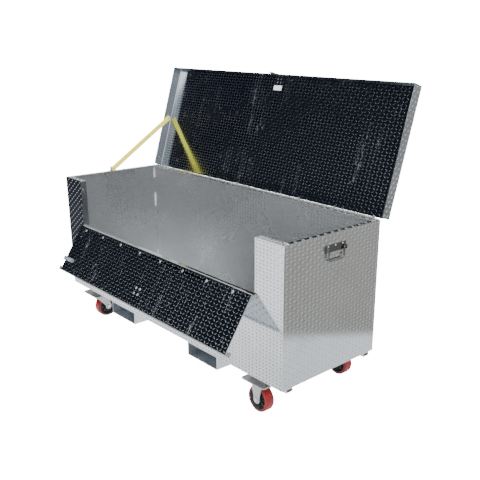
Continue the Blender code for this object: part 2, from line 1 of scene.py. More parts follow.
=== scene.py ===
"""Rolling tool box: the finished look of a tread-plate site chest, built as an add-on.

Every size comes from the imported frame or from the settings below. Pieces of the lid and of the
door are modelled shut and then turned to their open rest place about their own hinge.
"""

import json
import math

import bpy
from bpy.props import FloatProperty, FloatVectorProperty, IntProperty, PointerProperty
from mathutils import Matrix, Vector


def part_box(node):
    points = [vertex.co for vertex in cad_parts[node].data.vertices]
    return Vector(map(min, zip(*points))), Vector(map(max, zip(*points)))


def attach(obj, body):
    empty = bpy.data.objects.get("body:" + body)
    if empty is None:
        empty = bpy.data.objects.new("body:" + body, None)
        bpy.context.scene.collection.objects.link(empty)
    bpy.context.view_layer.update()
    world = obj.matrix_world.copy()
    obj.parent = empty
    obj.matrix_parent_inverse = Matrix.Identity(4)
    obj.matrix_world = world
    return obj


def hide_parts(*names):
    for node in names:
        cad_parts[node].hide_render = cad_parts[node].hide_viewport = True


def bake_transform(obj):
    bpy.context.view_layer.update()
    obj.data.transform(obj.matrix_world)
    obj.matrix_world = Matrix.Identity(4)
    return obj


bl_info = {
    "name": "Rolling Tool Box",
    "version": (1, 0, 0),
    "blender": (4, 5, 0),
    "location": "3D View > Sidebar > Tool Box",
    "description": "Builds a tread-plate tool chest with lid, door, casters and stay strap",
    "category": "Add Mesh",
}

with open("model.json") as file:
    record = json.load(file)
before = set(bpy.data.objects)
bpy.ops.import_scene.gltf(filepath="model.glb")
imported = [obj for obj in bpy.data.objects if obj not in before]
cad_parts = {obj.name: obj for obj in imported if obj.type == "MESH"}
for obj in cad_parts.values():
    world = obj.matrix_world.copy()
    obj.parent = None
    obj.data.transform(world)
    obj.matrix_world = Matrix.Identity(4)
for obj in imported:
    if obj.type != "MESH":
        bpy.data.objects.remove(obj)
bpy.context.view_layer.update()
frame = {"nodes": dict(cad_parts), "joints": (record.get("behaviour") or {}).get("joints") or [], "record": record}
CHEST_LOW, CHEST_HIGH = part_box("left_wall")[0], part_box("right_wall")[1]
RIM = CHEST_HIGH.z
ROWS = ("front", "back")
SIDES = ("left", "right")
SIGN = {"left": -1, "right": 1}
GROUND = min(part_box(f"{row}_{side}_tyre")[0].z for row in ROWS for side in SIDES)
SHEET = -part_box("floor_pan")[0].z
MATERIALS = {}
LUG_CELLS = {}

# Degrees between two faces past which their edge stays sharp.
FLAT_SHADE = 20.0
WIRE_SHADE = 35.0
TURNED_SHADE = 40.0
DOME_SHADE = 60.0
# Points nearer than this are one point: on new pieces, and on the loose triangles of a CAD node.
MERGE = 0.00001
NODE_MERGE = 0.00002


# ---------------------------------------------------------------- settings
def colour_setting(name, description, default):
    """A colour property with the usual range."""
    return FloatVectorProperty(name=name, description=description, default=default,
                               subtype="COLOR", size=3, min=0.0, max=1.0)


def length_setting(name, description, default):
    """A length property in metres."""
    return FloatProperty(name=name, description=description, default=default,
                         unit="LENGTH", min=0.0)


class ToolBoxSizes(bpy.types.PropertyGroup):
    """Sizes of the surface detail."""
    lug_pitch: length_setting("Lug pitch", "Distance between lugs along the sheet", 0.0220)
    lug_rise: length_setting("Lug rise", "Distance between lugs up the sheet", 0.0160)
    lug_length: length_setting("Lug length", "Length of one raised lug", 0.0205)
    lug_width: length_setting("Lug width", "Width of one raised lug", 0.0064)
    lug_height: length_setting("Lug height", "Height of a lug above the sheet", 0.0013)
    lug_margin: length_setting("Lug margin", "Plain border round a field of lugs", 0.002)
    edge_radius: length_setting("Edge radius", "Rounding of sheet edges", 0.0007)
    rivet_radius: length_setting("Rivet radius", "Radius of a rivet head", 0.0058)
    knuckle: length_setting("Knuckle length", "Length of one hinge knuckle", 0.0250)
    lens: FloatProperty(name="Lens", description="Focal length in millimetres", default=50.07,
                        unit="CAMERA")
    view_turn: FloatProperty(name="View turn", description="Camera heading from +Y", subtype="ANGLE",
                             default=math.radians(46.51))
    view_dip: FloatProperty(name="View dip", description="Camera angle below level", subtype="ANGLE",
                            default=math.radians(17.93))
    wheel_steps: IntProperty(name="Wheel steps", description="Sides of a turned wheel", default=72)


class ToolBoxColours(bpy.types.PropertyGroup):
    """Colours of the finishes."""
    aluminium: colour_setting("Aluminium", "Bright tread plate", (0.80, 0.82, 0.84))
    # Painted reflection: the polished inner faces are made darker and bluer than the aluminium, standing for the
    # dark surroundings they mirror.
    mirror_painted_dark: colour_setting("Dark mirror", "Polished inner faces of lid and door", (0.50, 0.54, 0.58))
    mill: colour_setting("Mill sheet", "Plain aluminium sheet", (0.86, 0.875, 0.89))
    zinc: colour_setting("Zinc", "Plated steel", (0.60, 0.61, 0.60))
    chrome: colour_setting("Chrome", "Polished steel", (0.82, 0.82, 0.83))
    tyre: colour_setting("Tyre", "Polyurethane tread", (0.26, 0.0003, 0.0016))
    hub: colour_setting("Hub", "Painted wheel centre", (0.030, 0.033, 0.038))
    webbing: colour_setting("Webbing", "Stay strap", (1.0, 0.93, 0.09))
    hub_dust: colour_setting("Hub dust", "Dust on the wheel centre", (0.085, 0.085, 0.085))
    weld: colour_setting("Weld", "Stitch welds", (0.96, 0.97, 0.98))
    # Painted shade: the next two colours stand for the shade and dark reflection inside the fork pockets; the
    # second is a darker tone of it, laid in random patches.
    pocket_shade: colour_setting("Pocket", "Inside of the fork pockets", (0.30, 0.35, 0.41))
    pocket_shade_darker: colour_setting("Pocket soot", "Darkening inside the fork pockets", (0.20, 0.23, 0.27))
    label: colour_setting("Label", "Blank plate", (0.86, 0.86, 0.84))
    floor: colour_setting("Floor", "Studio floor", (0.86, 0.86, 0.86))


def sizes():
    """The size settings of this scene."""
    return bpy.context.scene.tool_box_sizes


def colours():
    """The colour settings of this scene."""
    return bpy.context.scene.tool_box_colours


# ---------------------------------------------------------------- modelling helpers
def deselect():
    """Nothing selected, so that the next operator acts on its own piece only."""
    bpy.ops.object.select_all(action="DESELECT")


def make_active(item):
    """Only this piece selected and active."""
    deselect()
    item.select_set(True)
    bpy.context.view_layer.objects.active = item


def settle(item, name):
    """Place, turn and scale moved into the mesh, and the piece named."""
    make_active(item)
    bpy.ops.object.transform_apply(location=True, rotation=True, scale=True)
    item.name = name
    item.data.name = name
    return item


def add_block(name, low, high):
    """A block between two corners."""
    a, b = Vector(low), Vector(high)
    low, high = Vector(map(min, a, b)), Vector(map(max, a, b))
    deselect()
    bpy.ops.mesh.primitive_cube_add(size=1.0, location=(low + high) / 2)
    item = bpy.context.object
    item.scale = high - low
    return settle(item, name)


def add_rod(name, start, end, radius, sides):
    """A round bar between two points."""
    start, end = Vector(start), Vector(end)
    turn = (end - start).to_track_quat("Z", "Y").to_euler()
    deselect()
    bpy.ops.mesh.primitive_cylinder_add(vertices=sides, radius=radius, depth=(end - start).length,
                                        location=(start + end) / 2, rotation=turn)
    return settle(bpy.context.object, name)


def run_modifier(item, kind, **values):
    """One modifier set up and applied."""
    step = item.modifiers.new(kind.title(), kind)
    for key, value in values.items():
        setattr(step, key, value)
    make_active(item)
    bpy.ops.object.modifier_apply(modifier=step.name)
    return item


def round_edges(item, width, segments=2, angle=30.0):
    """Edges sharper than the angle rounded off, and the faces shaded smooth between them."""
    run_modifier(item, "BEVEL", width=width, segments=segments, limit_method="ANGLE",
                 angle_limit=math.radians(angle), miter_outer="MITER_ARC")
    return shade(item, FLAT_SHADE)


def shade(item, angle):
    """Smooth shading with sharp edges kept."""
    make_active(item)
    bpy.ops.object.shade_smooth_by_angle(angle=math.radians(angle))
    return item


def edit(item, picks, *steps):
    """Edit-mode steps on the vertices that the test picks."""
    make_active(item)
    for vertex in item.data.vertices:
        vertex.select = picks(vertex.co)
    for edge in item.data.edges:
        edge.select = all(item.data.vertices[i].select for i in edge.vertices)
    for face in item.data.polygons:
        face.select = all(item.data.vertices[i].select for i in face.vertices)
    bpy.ops.object.mode_set(mode="EDIT")
    for step in steps:
        step()
    bpy.ops.object.mode_set(mode="OBJECT")
    return item


def own_copy(name, mesh, place=None):
    """A piece with its own copy of a mesh, moved by a matrix."""
    copy = bpy.data.objects.new(name, mesh.copy())
    bpy.context.scene.collection.objects.link(copy)
    if place is not None:
        copy.data.transform(place)
    return copy


def join(name, items):
    """Several pieces made one."""
    deselect()
    for item in items:
        item.select_set(True)
    bpy.context.view_layer.objects.active = items[0]
    if len(items) > 1:
        bpy.ops.object.join()
    items[0].name = name
    items[0].data.name = name
    return items[0]


def outward(item):
    """Doubles merged and normals turned outwards."""
    return edit(item, lambda co: True,
                lambda: bpy.ops.mesh.remove_doubles(threshold=MERGE),
                lambda: bpy.ops.mesh.normals_make_consistent(inside=False))


def turned(name, profile, steps):
    """A closed ring of (radius, height) points spun about Z."""
    deselect()
    bpy.ops.mesh.primitive_circle_add(vertices=len(profile), radius=1.0, calc_uvs=False)
    item = settle(bpy.context.object, name)
    for vertex, (radius, height) in zip(item.data.vertices, profile):
        vertex.co = (radius, 0.0, height)
    edit(item, lambda co: True,
         lambda: bpy.ops.mesh.spin(steps=steps, angle=math.tau, center=(0.0, 0.0, 0.0),
                                   axis=(0.0, 0.0, 1.0)))
    return shade(outward(item), TURNED_SHADE)


def wire(name, points, radius):
    """A round wire through points, made a mesh with closed ends."""
    deselect()
    bpy.ops.curve.primitive_nurbs_path_add()
    item = bpy.context.object
    bpy.ops.object.mode_set(mode="EDIT")
    bpy.ops.curve.select_all(action="SELECT")
    bpy.ops.curve.spline_type_set(type="POLY")
    bpy.ops.object.mode_set(mode="OBJECT")
    spline = item.data.splines[0]
    spline.points.add(len(points) - len(spline.points))
    for point, place in zip(spline.points, points):
        point.co = (*place, 1.0)
    item.data.bevel_depth = radius
    item.data.bevel_resolution = 4
    item.data.use_fill_caps = True
    make_active(item)
    bpy.ops.object.convert(target="MESH")
    return shade(outward(settle(bpy.context.object, name)), WIRE_SHADE)


def rest_turn(joint_name):
    """Matrix that turns a piece from the far limit of a joint back to its rest."""
    joint = next(j for j in frame["joints"] if j["name"] == joint_name)
    place = Matrix.Translation(Vector(joint["pos_m"]))
    angle = -math.radians(joint["range_deg"][1])
    return place @ Matrix.Rotation(angle, 4, Vector(joint["axis"])) @ place.inverted()


LID_TURN = rest_turn("lid_hinge")
DOOR_TURN = rest_turn("door_hinge")
JOINT_PLACE = {j["name"]: Vector(j["pos_m"]) for j in frame["joints"] if "pos_m" in j}
LID_AXIS = JOINT_PLACE["lid_hinge"]
DOOR_AXIS = JOINT_PLACE["door_hinge"]


def shut_box(node, turn):
    """Corners of a lid or door node as it lies when shut."""
    back = turn.inverted()
    points = [back @ v.co for v in frame["nodes"][node].data.vertices]
    low = Vector([min(p[i] for p in points) for i in range(3)])
    high = Vector([max(p[i] for p in points) for i in range(3)])
    return low, high


def paint(item, material):
    """One finish over the whole piece."""
    item.data.materials.clear()
    item.data.materials.append(MATERIALS[material])
    return item


def seat(item, body, material, slot, *nodes):
    """The piece gets its finish, rides on its body and stands for CAD nodes."""
    paint(item, material)
    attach(item, body)
    if nodes:
        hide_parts(*nodes)
    return item


def body_name(node):
    """The body that carries a CAD node."""
    groups = frame["record"]["behaviour"]["bodies"]
    return next(name for name, members in groups.items() if node in members)


def refined(node, width, material, slot, segments=2, inside=None, inner_finish="inner_sheet"):
    """A CAD solid as a clean mesh with rounded edges, in place of the node.

    inside tells whether a face gets the inner finish."""
    item = own_copy(f"{node}_finished", frame["nodes"][node].data)
    edit(item, lambda co: True,
         lambda: bpy.ops.mesh.remove_doubles(threshold=NODE_MERGE),
         lambda: bpy.ops.mesh.dissolve_limited(angle_limit=math.radians(1.0)))
    round_edges(item, width, segments)
    seat(item, body_name(node), material, slot, node)
    if inside is not None:
        item.data.materials.append(MATERIALS[inner_finish])
        for face in item.data.polygons:
            face.material_index = int(inside(face))
    return item


# ---------------------------------------------------------------- shader steps
def fill(tree, socket, value):
    """A socket linked to another one, or set to a plain value."""
    if isinstance(value, bpy.types.NodeSocket):
        tree.links.new(value, socket)
    elif value is not None:
        socket.default_value = value


def step(tree, operation, *values, kind="ShaderNodeMath", result=0):
    """One math node whose inputs are filled in order."""
    node = tree.nodes.new(kind)
    node.operation = operation
    for socket, value in zip(node.inputs, values):
        fill(tree, socket, value)
    return node.outputs[result]


def vector_step(tree, operation, *values, result=0):
    """One vector math node whose inputs are filled in order."""
    return step(tree, operation, *values, kind="ShaderNodeVectorMath", result=result)


def noise(tree, place, scale, **values):
    """The value of a noise texture."""
    node = tree.nodes.new("ShaderNodeTexNoise")
    fill(tree, node.inputs["Vector"], place)
    fill(tree, node.inputs["Scale"], scale)
    for key, value in values.items():
        fill(tree, node.inputs[key], value)
    return node.outputs["Fac"]


def fitted(tree, value, smooth=False, **limits):
    """A value mapped between limits, such as From_Min or To_Max."""
    node = tree.nodes.new("ShaderNodeMapRange")
    if smooth:
        node.interpolation_type = "SMOOTHSTEP"
    fill(tree, node.inputs["Value"], value)
    for key, limit in limits.items():
        fill(tree, node.inputs[key.replace("_", " ")], limit)
    return node.outputs["Result"]


def mixed(tree, mask, first, second):
    """A colour between two colours by a mask."""
    node = tree.nodes.new("ShaderNodeMix")
    node.data_type = "RGBA"
    fill(tree, node.inputs["Factor"], mask)
    targets = [socket for socket in node.inputs if socket.type == "RGBA"]
    for target, value in zip(targets, (first, second)):
        fill(tree, target, value if isinstance(value, bpy.types.NodeSocket) else (*value, 1.0))
    return next(socket for socket in node.outputs if socket.type == "RGBA")


def mixed_shader(tree, mask, first, second):
    """A shader between two shaders by a mask."""
    node = tree.nodes.new("ShaderNodeMixShader")
    for socket, value in zip(node.inputs, (mask, first, second)):
        fill(tree, socket, value)
    return node.outputs[0]


# ---------------------------------------------------------------- shader groups
def new_group(name, inputs, outputs):
    """An empty shader group with named sockets."""
    group = bpy.data.node_groups.new(name, "ShaderNodeTree")
    for socket_name, kind, default in inputs:
        socket = group.interface.new_socket(socket_name, in_out="INPUT", socket_type=kind)
        if default is not None:
            socket.default_value = default
    for socket_name in outputs:
        group.interface.new_socket(socket_name, in_out="OUTPUT", socket_type="NodeSocketFloat")
    return group, group.nodes.new("NodeGroupInput").outputs, group.nodes.new("NodeGroupOutput").inputs


def grain_group():
    """Fine drawn lines: noise stretched along one direction."""
    group, enter, leave = new_group(
        "drawn_grain",
        [("Position", "NodeSocketVector", None), ("Stretch", "NodeSocketVector", (60.0, 60.0, 900.0))],
        ["Height"])
    place = vector_step(group, "MULTIPLY", enter["Position"], enter["Stretch"])
    fill(group, leave["Height"], noise(group, place, 1.0, Detail=5.0))


def smudge_group():
    """Large soft patches of handling marks and haze."""
    group, enter, leave = new_group(
        "handling_marks",
        [("Position", "NodeSocketVector", None), ("Size", "NodeSocketFloat", 6.0),
         ("Low", "NodeSocketFloat", 0.40), ("High", "NodeSocketFloat", 0.68)],
        ["Mask"])
    patches = noise(group, enter["Position"], enter["Size"], Detail=6.0, Roughness=0.62,
                    Distortion=0.35)
    fill(group, leave["Mask"],
         fitted(group, patches, smooth=True, From_Min=enter["Low"], From_Max=enter["High"]))


def scratch_group():
    """Sparse hairline scratches: thin bands of a stretched noise, broken up by a coarse one."""
    group, enter, leave = new_group(
        "hairline_scratches",
        [("Position", "NodeSocketVector", None), ("Stretch", "NodeSocketVector", (70.0, 3.0, 3.0)),
         ("Width", "NodeSocketFloat", 0.012)],
        ["Mask"])
    middle = 0.5
    place = vector_step(group, "MULTIPLY", enter["Position"], enter["Stretch"])
    level = step(group, "SUBTRACT", noise(group, place, 1.0, Detail=2.0), middle)
    line = step(group, "LESS_THAN", step(group, "ABSOLUTE", level), enter["Width"])
    gate = step(group, "GREATER_THAN", noise(group, enter["Position"], 3.0), middle)
    fill(group, leave["Mask"], step(group, "MULTIPLY", line, gate))


def imprint_group():
    """The tread pattern showing faintly on the back of the sheet: a lattice of soft bumps."""
    group, enter, leave = new_group(
        "stamped_imprint",
        [("Position", "NodeSocketVector", None), ("Along", "NodeSocketFloat", 1.0 / sizes().lug_pitch),
         ("Up", "NodeSocketFloat", 1.0 / sizes().lug_rise)],
        ["Height"])
    split = group.nodes.new("ShaderNodeSeparateXYZ")
    fill(group, split.inputs[0], enter["Position"])
    level = step(group, "ADD", split.outputs["X"], split.outputs["Y"])
    across = step(group, "MULTIPLY", level, enter["Along"])
    up = step(group, "MULTIPLY", split.outputs["Z"], enter["Up"])
    waves = []
    for operation in ("ADD", "SUBTRACT"):
        turn = step(group, "MULTIPLY", step(group, operation, across, up), math.pi)
        waves.append(step(group, "SINE", turn))
    fill(group, leave["Height"], step(group, "MULTIPLY", *waves))


def weave_group():
    """Plain weave of webbing: ribs along the strap crossed by fine picks. Shade is painted shade, darker in the
    hollows of the weave.
    """
    group, enter, leave = new_group(
        "webbing_weave",
        [("Position", "NodeSocketVector", None), ("Ribs", "NodeSocketFloat", 9.0),
         ("Picks", "NodeSocketFloat", 260.0)],
        ["Height", "Shade"])
    split = group.nodes.new("ShaderNodeSeparateXYZ")
    fill(group, split.inputs[0], enter["Position"])

    def wave(axis, count):
        """A sine that repeats count times along one side of the strap."""
        turns = step(group, "MULTIPLY", split.outputs[axis], enter[count])
        return step(group, "SINE", step(group, "MULTIPLY", turns, math.tau))

    ribs = wave("Y", "Ribs")
    picks = wave("X", "Picks")
    total = step(group, "ADD", step(group, "MULTIPLY", ribs, picks), ribs)
    fill(group, leave["Height"], total)
    fill(group, leave["Shade"], fitted(group, total, From_Min=-2.0, From_Max=2.0))


# ---------------------------------------------------------------- finishes
class Finish:
    """A Principled material and the few node steps that the finishes share."""

    def __init__(self, name, metallic):
        self.material = bpy.data.materials.new(name)
        self.material.use_nodes = True
        self.tree = self.material.node_tree
        self.inputs = self.tree.nodes["Principled BSDF"].inputs
        self.inputs["Metallic"].default_value = metallic
        self.coordinates = self.tree.nodes.new("ShaderNodeTexCoord").outputs
        self.place = self.coordinates["Object"]
        MATERIALS[name] = self.material

    def group(self, name, **values):
        """The outputs of a shader group that reads the piece's own coordinates."""
        node = self.tree.nodes.new("ShaderNodeGroup")
        node.node_tree = bpy.data.node_groups[name]
        fill(self.tree, node.inputs["Position"], self.place)
        for key, value in values.items():
            fill(self.tree, node.inputs[key], value)
        return node.outputs

    def marks(self, **values):
        """A mask of handling marks."""
        return self.group("handling_marks", **values)["Mask"]

    def grain(self, fineness):
        """Drawn grain, by how fine it is along each axis."""
        return self.group("drawn_grain", Stretch=fineness)["Height"]

    def colour(self, mask, first, second):
        """Base colour between two colours by a mask."""
        result = mixed(self.tree, mask, first, second)
        fill(self.tree, self.inputs["Base Color"], result)
        return result

    def roughness(self, mask, low, high):
        """Roughness between two values by a mask."""
        fill(self.tree, self.inputs["Roughness"], fitted(self.tree, mask, To_Min=low, To_Max=high))

    def metallic(self, mask, low):
        """Less metallic where a mask shows, so that scuffs catch stray light."""
        fill(self.tree, self.inputs["Metallic"], fitted(self.tree, mask, To_Min=1.0, To_Max=low))

    def bump(self, height, strength, distance, below=None):
        """A bump step, on top of another one where given."""
        bump = self.tree.nodes.new("ShaderNodeBump")
        for key, value in (("Height", height), ("Strength", strength), ("Distance", distance),
                           ("Normal", below)):
            fill(self.tree, bump.inputs[key], value)
        fill(self.tree, self.inputs["Normal"], bump.outputs["Normal"])
        return bump.outputs["Normal"]


def darker(colour, factor):
    """A colour scaled towards black."""
    return tuple(channel * factor for channel in colour)


def metal(name, colour, low, high, fineness, depth=0.00004, haze=5.0, imprint=0.0, fleck=1.0,
          shine=1.0):
    """Sheet or plated metal with drawn grain and haze, its roughness between low and high.

    imprint is how strongly the tread shows through and fleck how dark its fine mottling gets."""
    finish = Finish(name, shine)
    patches = finish.marks(Size=haze)
    base = finish.colour(patches, colour, darker(colour, 0.90))
    if fleck < 1.0:
        fine = finish.marks(Size=200.0, Low=0.40, High=0.62)
        finish.colour(fine, base, darker(colour, fleck))
    finish.roughness(patches, low, high)
    below = finish.bump(finish.grain(fineness), 0.35, depth)
    if imprint:
        finish.bump(finish.group("stamped_imprint")["Height"], imprint, 0.0006, below)
    return finish


def sheet_metals(tint):
    """Tread plate, its polished inner side and the plain sheets. The polished side and the lugs are painted darker
    as shade and reflection.
    """
    even = (220.0, 220.0, 220.0)
    mottled = dict(depth=0.0012, haze=2.5, imprint=0.4, fleck=0.80, shine=0.92)
    metal("tread_plate", tint.aluminium, 0.08, 0.15, (40.0, 40.0, 600.0), haze=3.0)
    # Painted shade: the lugs are a darker copy of the tread plate they are pressed from, so that they show as dark
    # dashes.
    metal("tread_lugs", darker(tint.aluminium, 0.80), 0.08, 0.18, even, depth=0.00008)
    # Painted reflection: the polished side takes the darker, bluer mirror colour.
    plate = metal("mirror_plate", tint.mirror_painted_dark, 0.08, 0.16, (500.0, 30.0, 30.0))
    lines = plate.group("hairline_scratches", Stretch=(34.0, 1.2, 1.2), Width=0.0016)
    plate.metallic(lines["Mask"], 0.55)
    # Painted shade: these lugs are a darker copy of the polished side, which dims their highlights.
    metal("mirror_lugs", darker(tint.mirror_painted_dark, 0.75), 0.26, 0.38, even, depth=0.00008)
    # The floor sheet is the inner sheet colour made darker.
    metal("darker_floor_sheet", darker(tint.mill, 0.70), 0.26, 0.36, (95.0, 95.0, 65.0), **mottled)
    metal("inner_sheet", tint.mill, 0.26, 0.36, (95.0, 95.0, 65.0), **mottled)
    metal("plain_sheet", tint.mill, 0.20, 0.32, (50.0, 700.0, 50.0), shine=0.8)


def hardware_metals(tint):
    """Plated, polished and welded metal."""
    polished = (150.0, 150.0, 150.0)
    metal("zinc_steel", tint.zinc, 0.28, 0.45, (180.0, 180.0, 180.0), depth=0.0001, haze=28.0,
          shine=0.65)
    metal("chrome_steel", tint.chrome, 0.06, 0.16, polished, haze=40.0, shine=0.8)
    metal("handle_steel", darker(tint.chrome, 0.28), 0.08, 0.20, polished, haze=40.0)
    metal("weld_bead", tint.weld, 0.30, 0.40, (400.0, 400.0, 400.0), depth=0.0002, haze=60.0,
          shine=0.4)
    metal("caster_steel", tint.zinc, 0.30, 0.48, (120.0, 120.0, 500.0), depth=0.00012, haze=30.0,
          shine=0.85)


def plain_finishes(tint):
    """Painted shade inside the fork pockets, tyre, hub and label."""
    # Painted shade inside the fork pockets, darker in random patches.
    inner_finish = Finish("painted_pocket_shade", 0.2)
    shade_patches = inner_finish.marks(Size=9.0)
    inner_finish.colour(shade_patches, tint.pocket_shade, tint.pocket_shade_darker)
    inner_finish.roughness(shade_patches, 0.30, 0.50)

    tyre = Finish("tyre_red", 0.0)
    scuffs = tyre.marks(Size=34.0, Low=0.42, High=0.72)
    tyre.colour(scuffs, tint.tyre, darker(tint.tyre, 0.72))
    tyre.roughness(scuffs, 0.30, 0.50)
    tyre.bump(tyre.grain((900.0, 900.0, 900.0)), 0.25, 0.0002)
    tyre.inputs["Coat Weight"].default_value = 0.15

    hub = Finish("hub_dark", 0.25)
    dust = hub.marks(Size=45.0, Low=0.45, High=0.75)
    hub.colour(dust, tint.hub, tint.hub_dust)
    hub.roughness(dust, 0.35, 0.60)
    hub.bump(hub.grain((700.0, 700.0, 700.0)), 0.4, 0.0002)

    label = Finish("label_white", 0.0)
    haze = label.marks(Size=60.0)
    label.colour(haze, tint.label, darker(tint.label, 0.93))
    label.roughness(haze, 0.35, 0.55)
    label.bump(label.grain((800.0, 800.0, 800.0)), 0.15, 0.0001)


def webbing_finish(tint):
    """Woven yellow webbing, which follows the strap's own UV map, with painted shade in the hollows of its weave
    and a faint painted glow in its own yellow.
    """
    web = Finish("webbing", 0.0)
    web.place = web.coordinates["UV"]
    weave = web.group("webbing_weave")
    # Painted shade: the webbing is darker in the hollows of the weave.
    web.colour(weave["Shade"], darker(tint.webbing, 0.82), tint.webbing)
    # Painted light: the strap glows a little in its own yellow, though it is no lamp.
    web.inputs["Emission Color"].default_value = (*tint.webbing, 1.0)
    web.inputs["Emission Strength"].default_value = 0.6
    web.inputs["Roughness"].default_value = 0.78
    web.inputs["Sheen Weight"].default_value = 0.25
    web.bump(weave["Height"], 0.6, 0.0003)


def make_materials():
    """Every finish of the tool box."""
    for build in (grain_group, smudge_group, scratch_group, imprint_group, weave_group):
        build()
    for build in (sheet_metals, hardware_metals, plain_finishes, webbing_finish):
        build(colours())


# ---------------------------------------------------------------- tread pattern
# Width across the flats of a hexagon that is one unit across its corners.
HEX_WIDTH = 0.866
# A lug is taller than it shows, by the share that is sunk in the sheet, and narrower at its top.
LUG_DEPTH = 1.4
LUG_LIFT = 0.3
LUG_TOP = (0.14, 0.60, 1.0)
# A face this many lug rows high gets lugs in pairs of rows.
PAIRED_ROWS = 1.6


def lug_cell(rows, height):
    """One repeat of the tread: lugs in turn one way and the other, in one or two rows.

    Each kind is modelled once, and every field of lugs starts from its own copy."""
    kind = (rows, height)
    if kind not in LUG_CELLS:
        size = sizes()
        pitch = size.lug_pitch
        deselect()
        bpy.ops.mesh.primitive_cylinder_add(vertices=6, radius=0.5, depth=1.0)
        lug = bpy.context.object
        lug.scale = (size.lug_width / HEX_WIDTH, size.lug_length, height * LUG_DEPTH)
        settle(lug, "lug")
        edit(lug, lambda co: co.z > 0, lambda: bpy.ops.transform.resize(value=LUG_TOP))
        lug.data.transform(Matrix.Translation((0, 0, height * LUG_LIFT)))
        copies = []
        for row in range(rows):
            for column in range(2):
                turn = math.radians(45 if (row + column) % 2 else -45)
                place = Matrix.Translation(((column + 0.5) * pitch, (row + 0.5) * pitch, 0.0))
                place = place @ Matrix.Rotation(turn, 4, "Z")
                copies.append(own_copy("lug_copy", lug.data, place))
        bpy.data.objects.remove(lug)
        cell = join("lug_cell", copies)
        cell.data.transform(Matrix.Diagonal((1.0, size.lug_rise / pitch, 1.0, 1.0)))
        LUG_CELLS[kind] = cell.data
        bpy.data.objects.remove(cell)
    return own_copy("lug_cell", LUG_CELLS[kind])


def lug_field(name, corner, along, across, body, material="tread_lugs", turn=None, margin=None,
              rise=None):
    """A face covered with lugs. The field's normal is along x across."""
    size = sizes()
    margin = size.lug_margin if margin is None else margin
    along = Vector(along)
    across = Vector(across)
    width = along.length - 2 * margin
    height = across.length - 2 * margin
    rows = 2 if height > PAIRED_ROWS * size.lug_rise else 1
    field = lug_cell(rows, size.lug_height if rise is None else rise)
    span_x = 2 * size.lug_pitch
    span_y = rows * size.lug_rise
    count_x = max(1, round(width / span_x))
    count_y = max(1, round(height / span_y))
    for count, offset in ((count_x, (span_x, 0, 0)), (count_y, (0, span_y, 0))):
        run_modifier(field, "ARRAY", count=count, use_relative_offset=False,
                     use_constant_offset=True, constant_offset_displace=offset)
    fit = Matrix.Diagonal((width / (count_x * span_x), height / (count_y * span_y), 1.0, 1.0))
    side = along.normalized()
    up = across.normalized()
    basis = Matrix((side, up, side.cross(up))).transposed().to_4x4()
    start = Vector(corner) + side * margin + up * margin
    field.data.transform(Matrix.Translation(start) @ basis @ fit)
    if turn is not None:
        field.data.transform(turn)
    field.name = name
    field.data.name = name
    return seat(field, body, material, "tread_plate")


# ---------------------------------------------------------------- small hardware
def rivets(name, places, normal, body, turn=None, radius=None):
    """Domed rivet heads set on a face, as one piece: one head modelled, and a copy at each place."""
    radius = sizes().rivet_radius if radius is None else radius
    deselect()
    bpy.ops.mesh.primitive_uv_sphere_add(segments=14, ring_count=8, radius=radius)
    head = bpy.context.object
    head.scale = (1.0, 1.0, 0.50)
    settle(head, "head")
    edit(head, lambda co: co.z < -radius * 0.15,
         lambda: bpy.ops.transform.resize(value=(1.0, 1.0, 0.2)))
    aim = Vector(normal).to_track_quat("Z", "Y").to_matrix().to_4x4()
    heads = [own_copy("head_copy", head.data, Matrix.Translation(place) @ aim) for place in places]
    bpy.data.objects.remove(head)
    item = shade(join(name, heads), DOME_SHADE)
    if turn is not None:
        item.data.transform(turn)
    return seat(item, body, "chrome_steel", "chrome_steel")


def weld(name, start, end, radius, body="chest"):
    """A stitch weld: overlapping drops of metal along a corner."""
    start = Vector(start)
    end = Vector(end)
    spacing = radius * 0.9
    count = max(3, int((end - start).length / spacing))
    deselect()
    bpy.ops.mesh.primitive_uv_sphere_add(segments=10, ring_count=6, radius=radius)
    drop = settle(bpy.context.object, name)
    along = (end - start).normalized()
    run_modifier(drop, "ARRAY", count=count, use_relative_offset=False, use_constant_offset=True,
                 constant_offset_displace=along * spacing)
    drop.data.transform(Matrix.Translation(start))
    shade(drop, DOME_SHADE)
    return seat(drop, body, "weld_bead", "plain_sheet")


def long_leaf(node, axis, wall_side, up, half, moving, turn=None):
    """A hinge leaf with a row of short knuckles, in place of the CAD leaf.

    wall_side is the y direction of the leaf from its pin, and up the z direction of its plate."""
    radius = 0.004
    face = axis.y + wall_side * 0.0062
    front = face - wall_side * 0.0020
    near = axis.z + up * 0.0052
    far = axis.z + up * 0.030
    plate = add_block("leaf", (-half, face, near), (half, front, far))
    length = sizes().knuckle
    gap = 0.0004
    start = -half + (length if moving else 0.0)
    end = start + length - gap
    count = int((half - start) / (2 * length))
    knuckle = add_rod("knuckle", (start + gap, axis.y, axis.z), (end, axis.y, axis.z), radius, 16)
    web = add_block("web", (start + gap, face, axis.z), (end, front, near + up * 0.001))
    cell = join("knuckles", [knuckle, web])
    run_modifier(cell, "ARRAY", count=count, use_relative_offset=False, use_constant_offset=True,
                 constant_offset_displace=(2 * length, 0, 0))
    item = round_edges(join(f"{node}_finished", [plate, cell]), 0.0003, segments=1, angle=50.0)
    if turn is not None:
        item.data.transform(turn)
    return seat(item, body_name(node), "zinc_steel", "zinc_steel", node)


# ---------------------------------------------------------------- operators
# Rivet rows of the long hinges: distance above or below the pin, and in front of it.
LEAF_ROW = 0.019
LEAF_FACE = 0.0042
DOOR_ROW = [-0.655 + number * 0.1813 for number in range(8)]
CASTER_EDGE = 0.0006
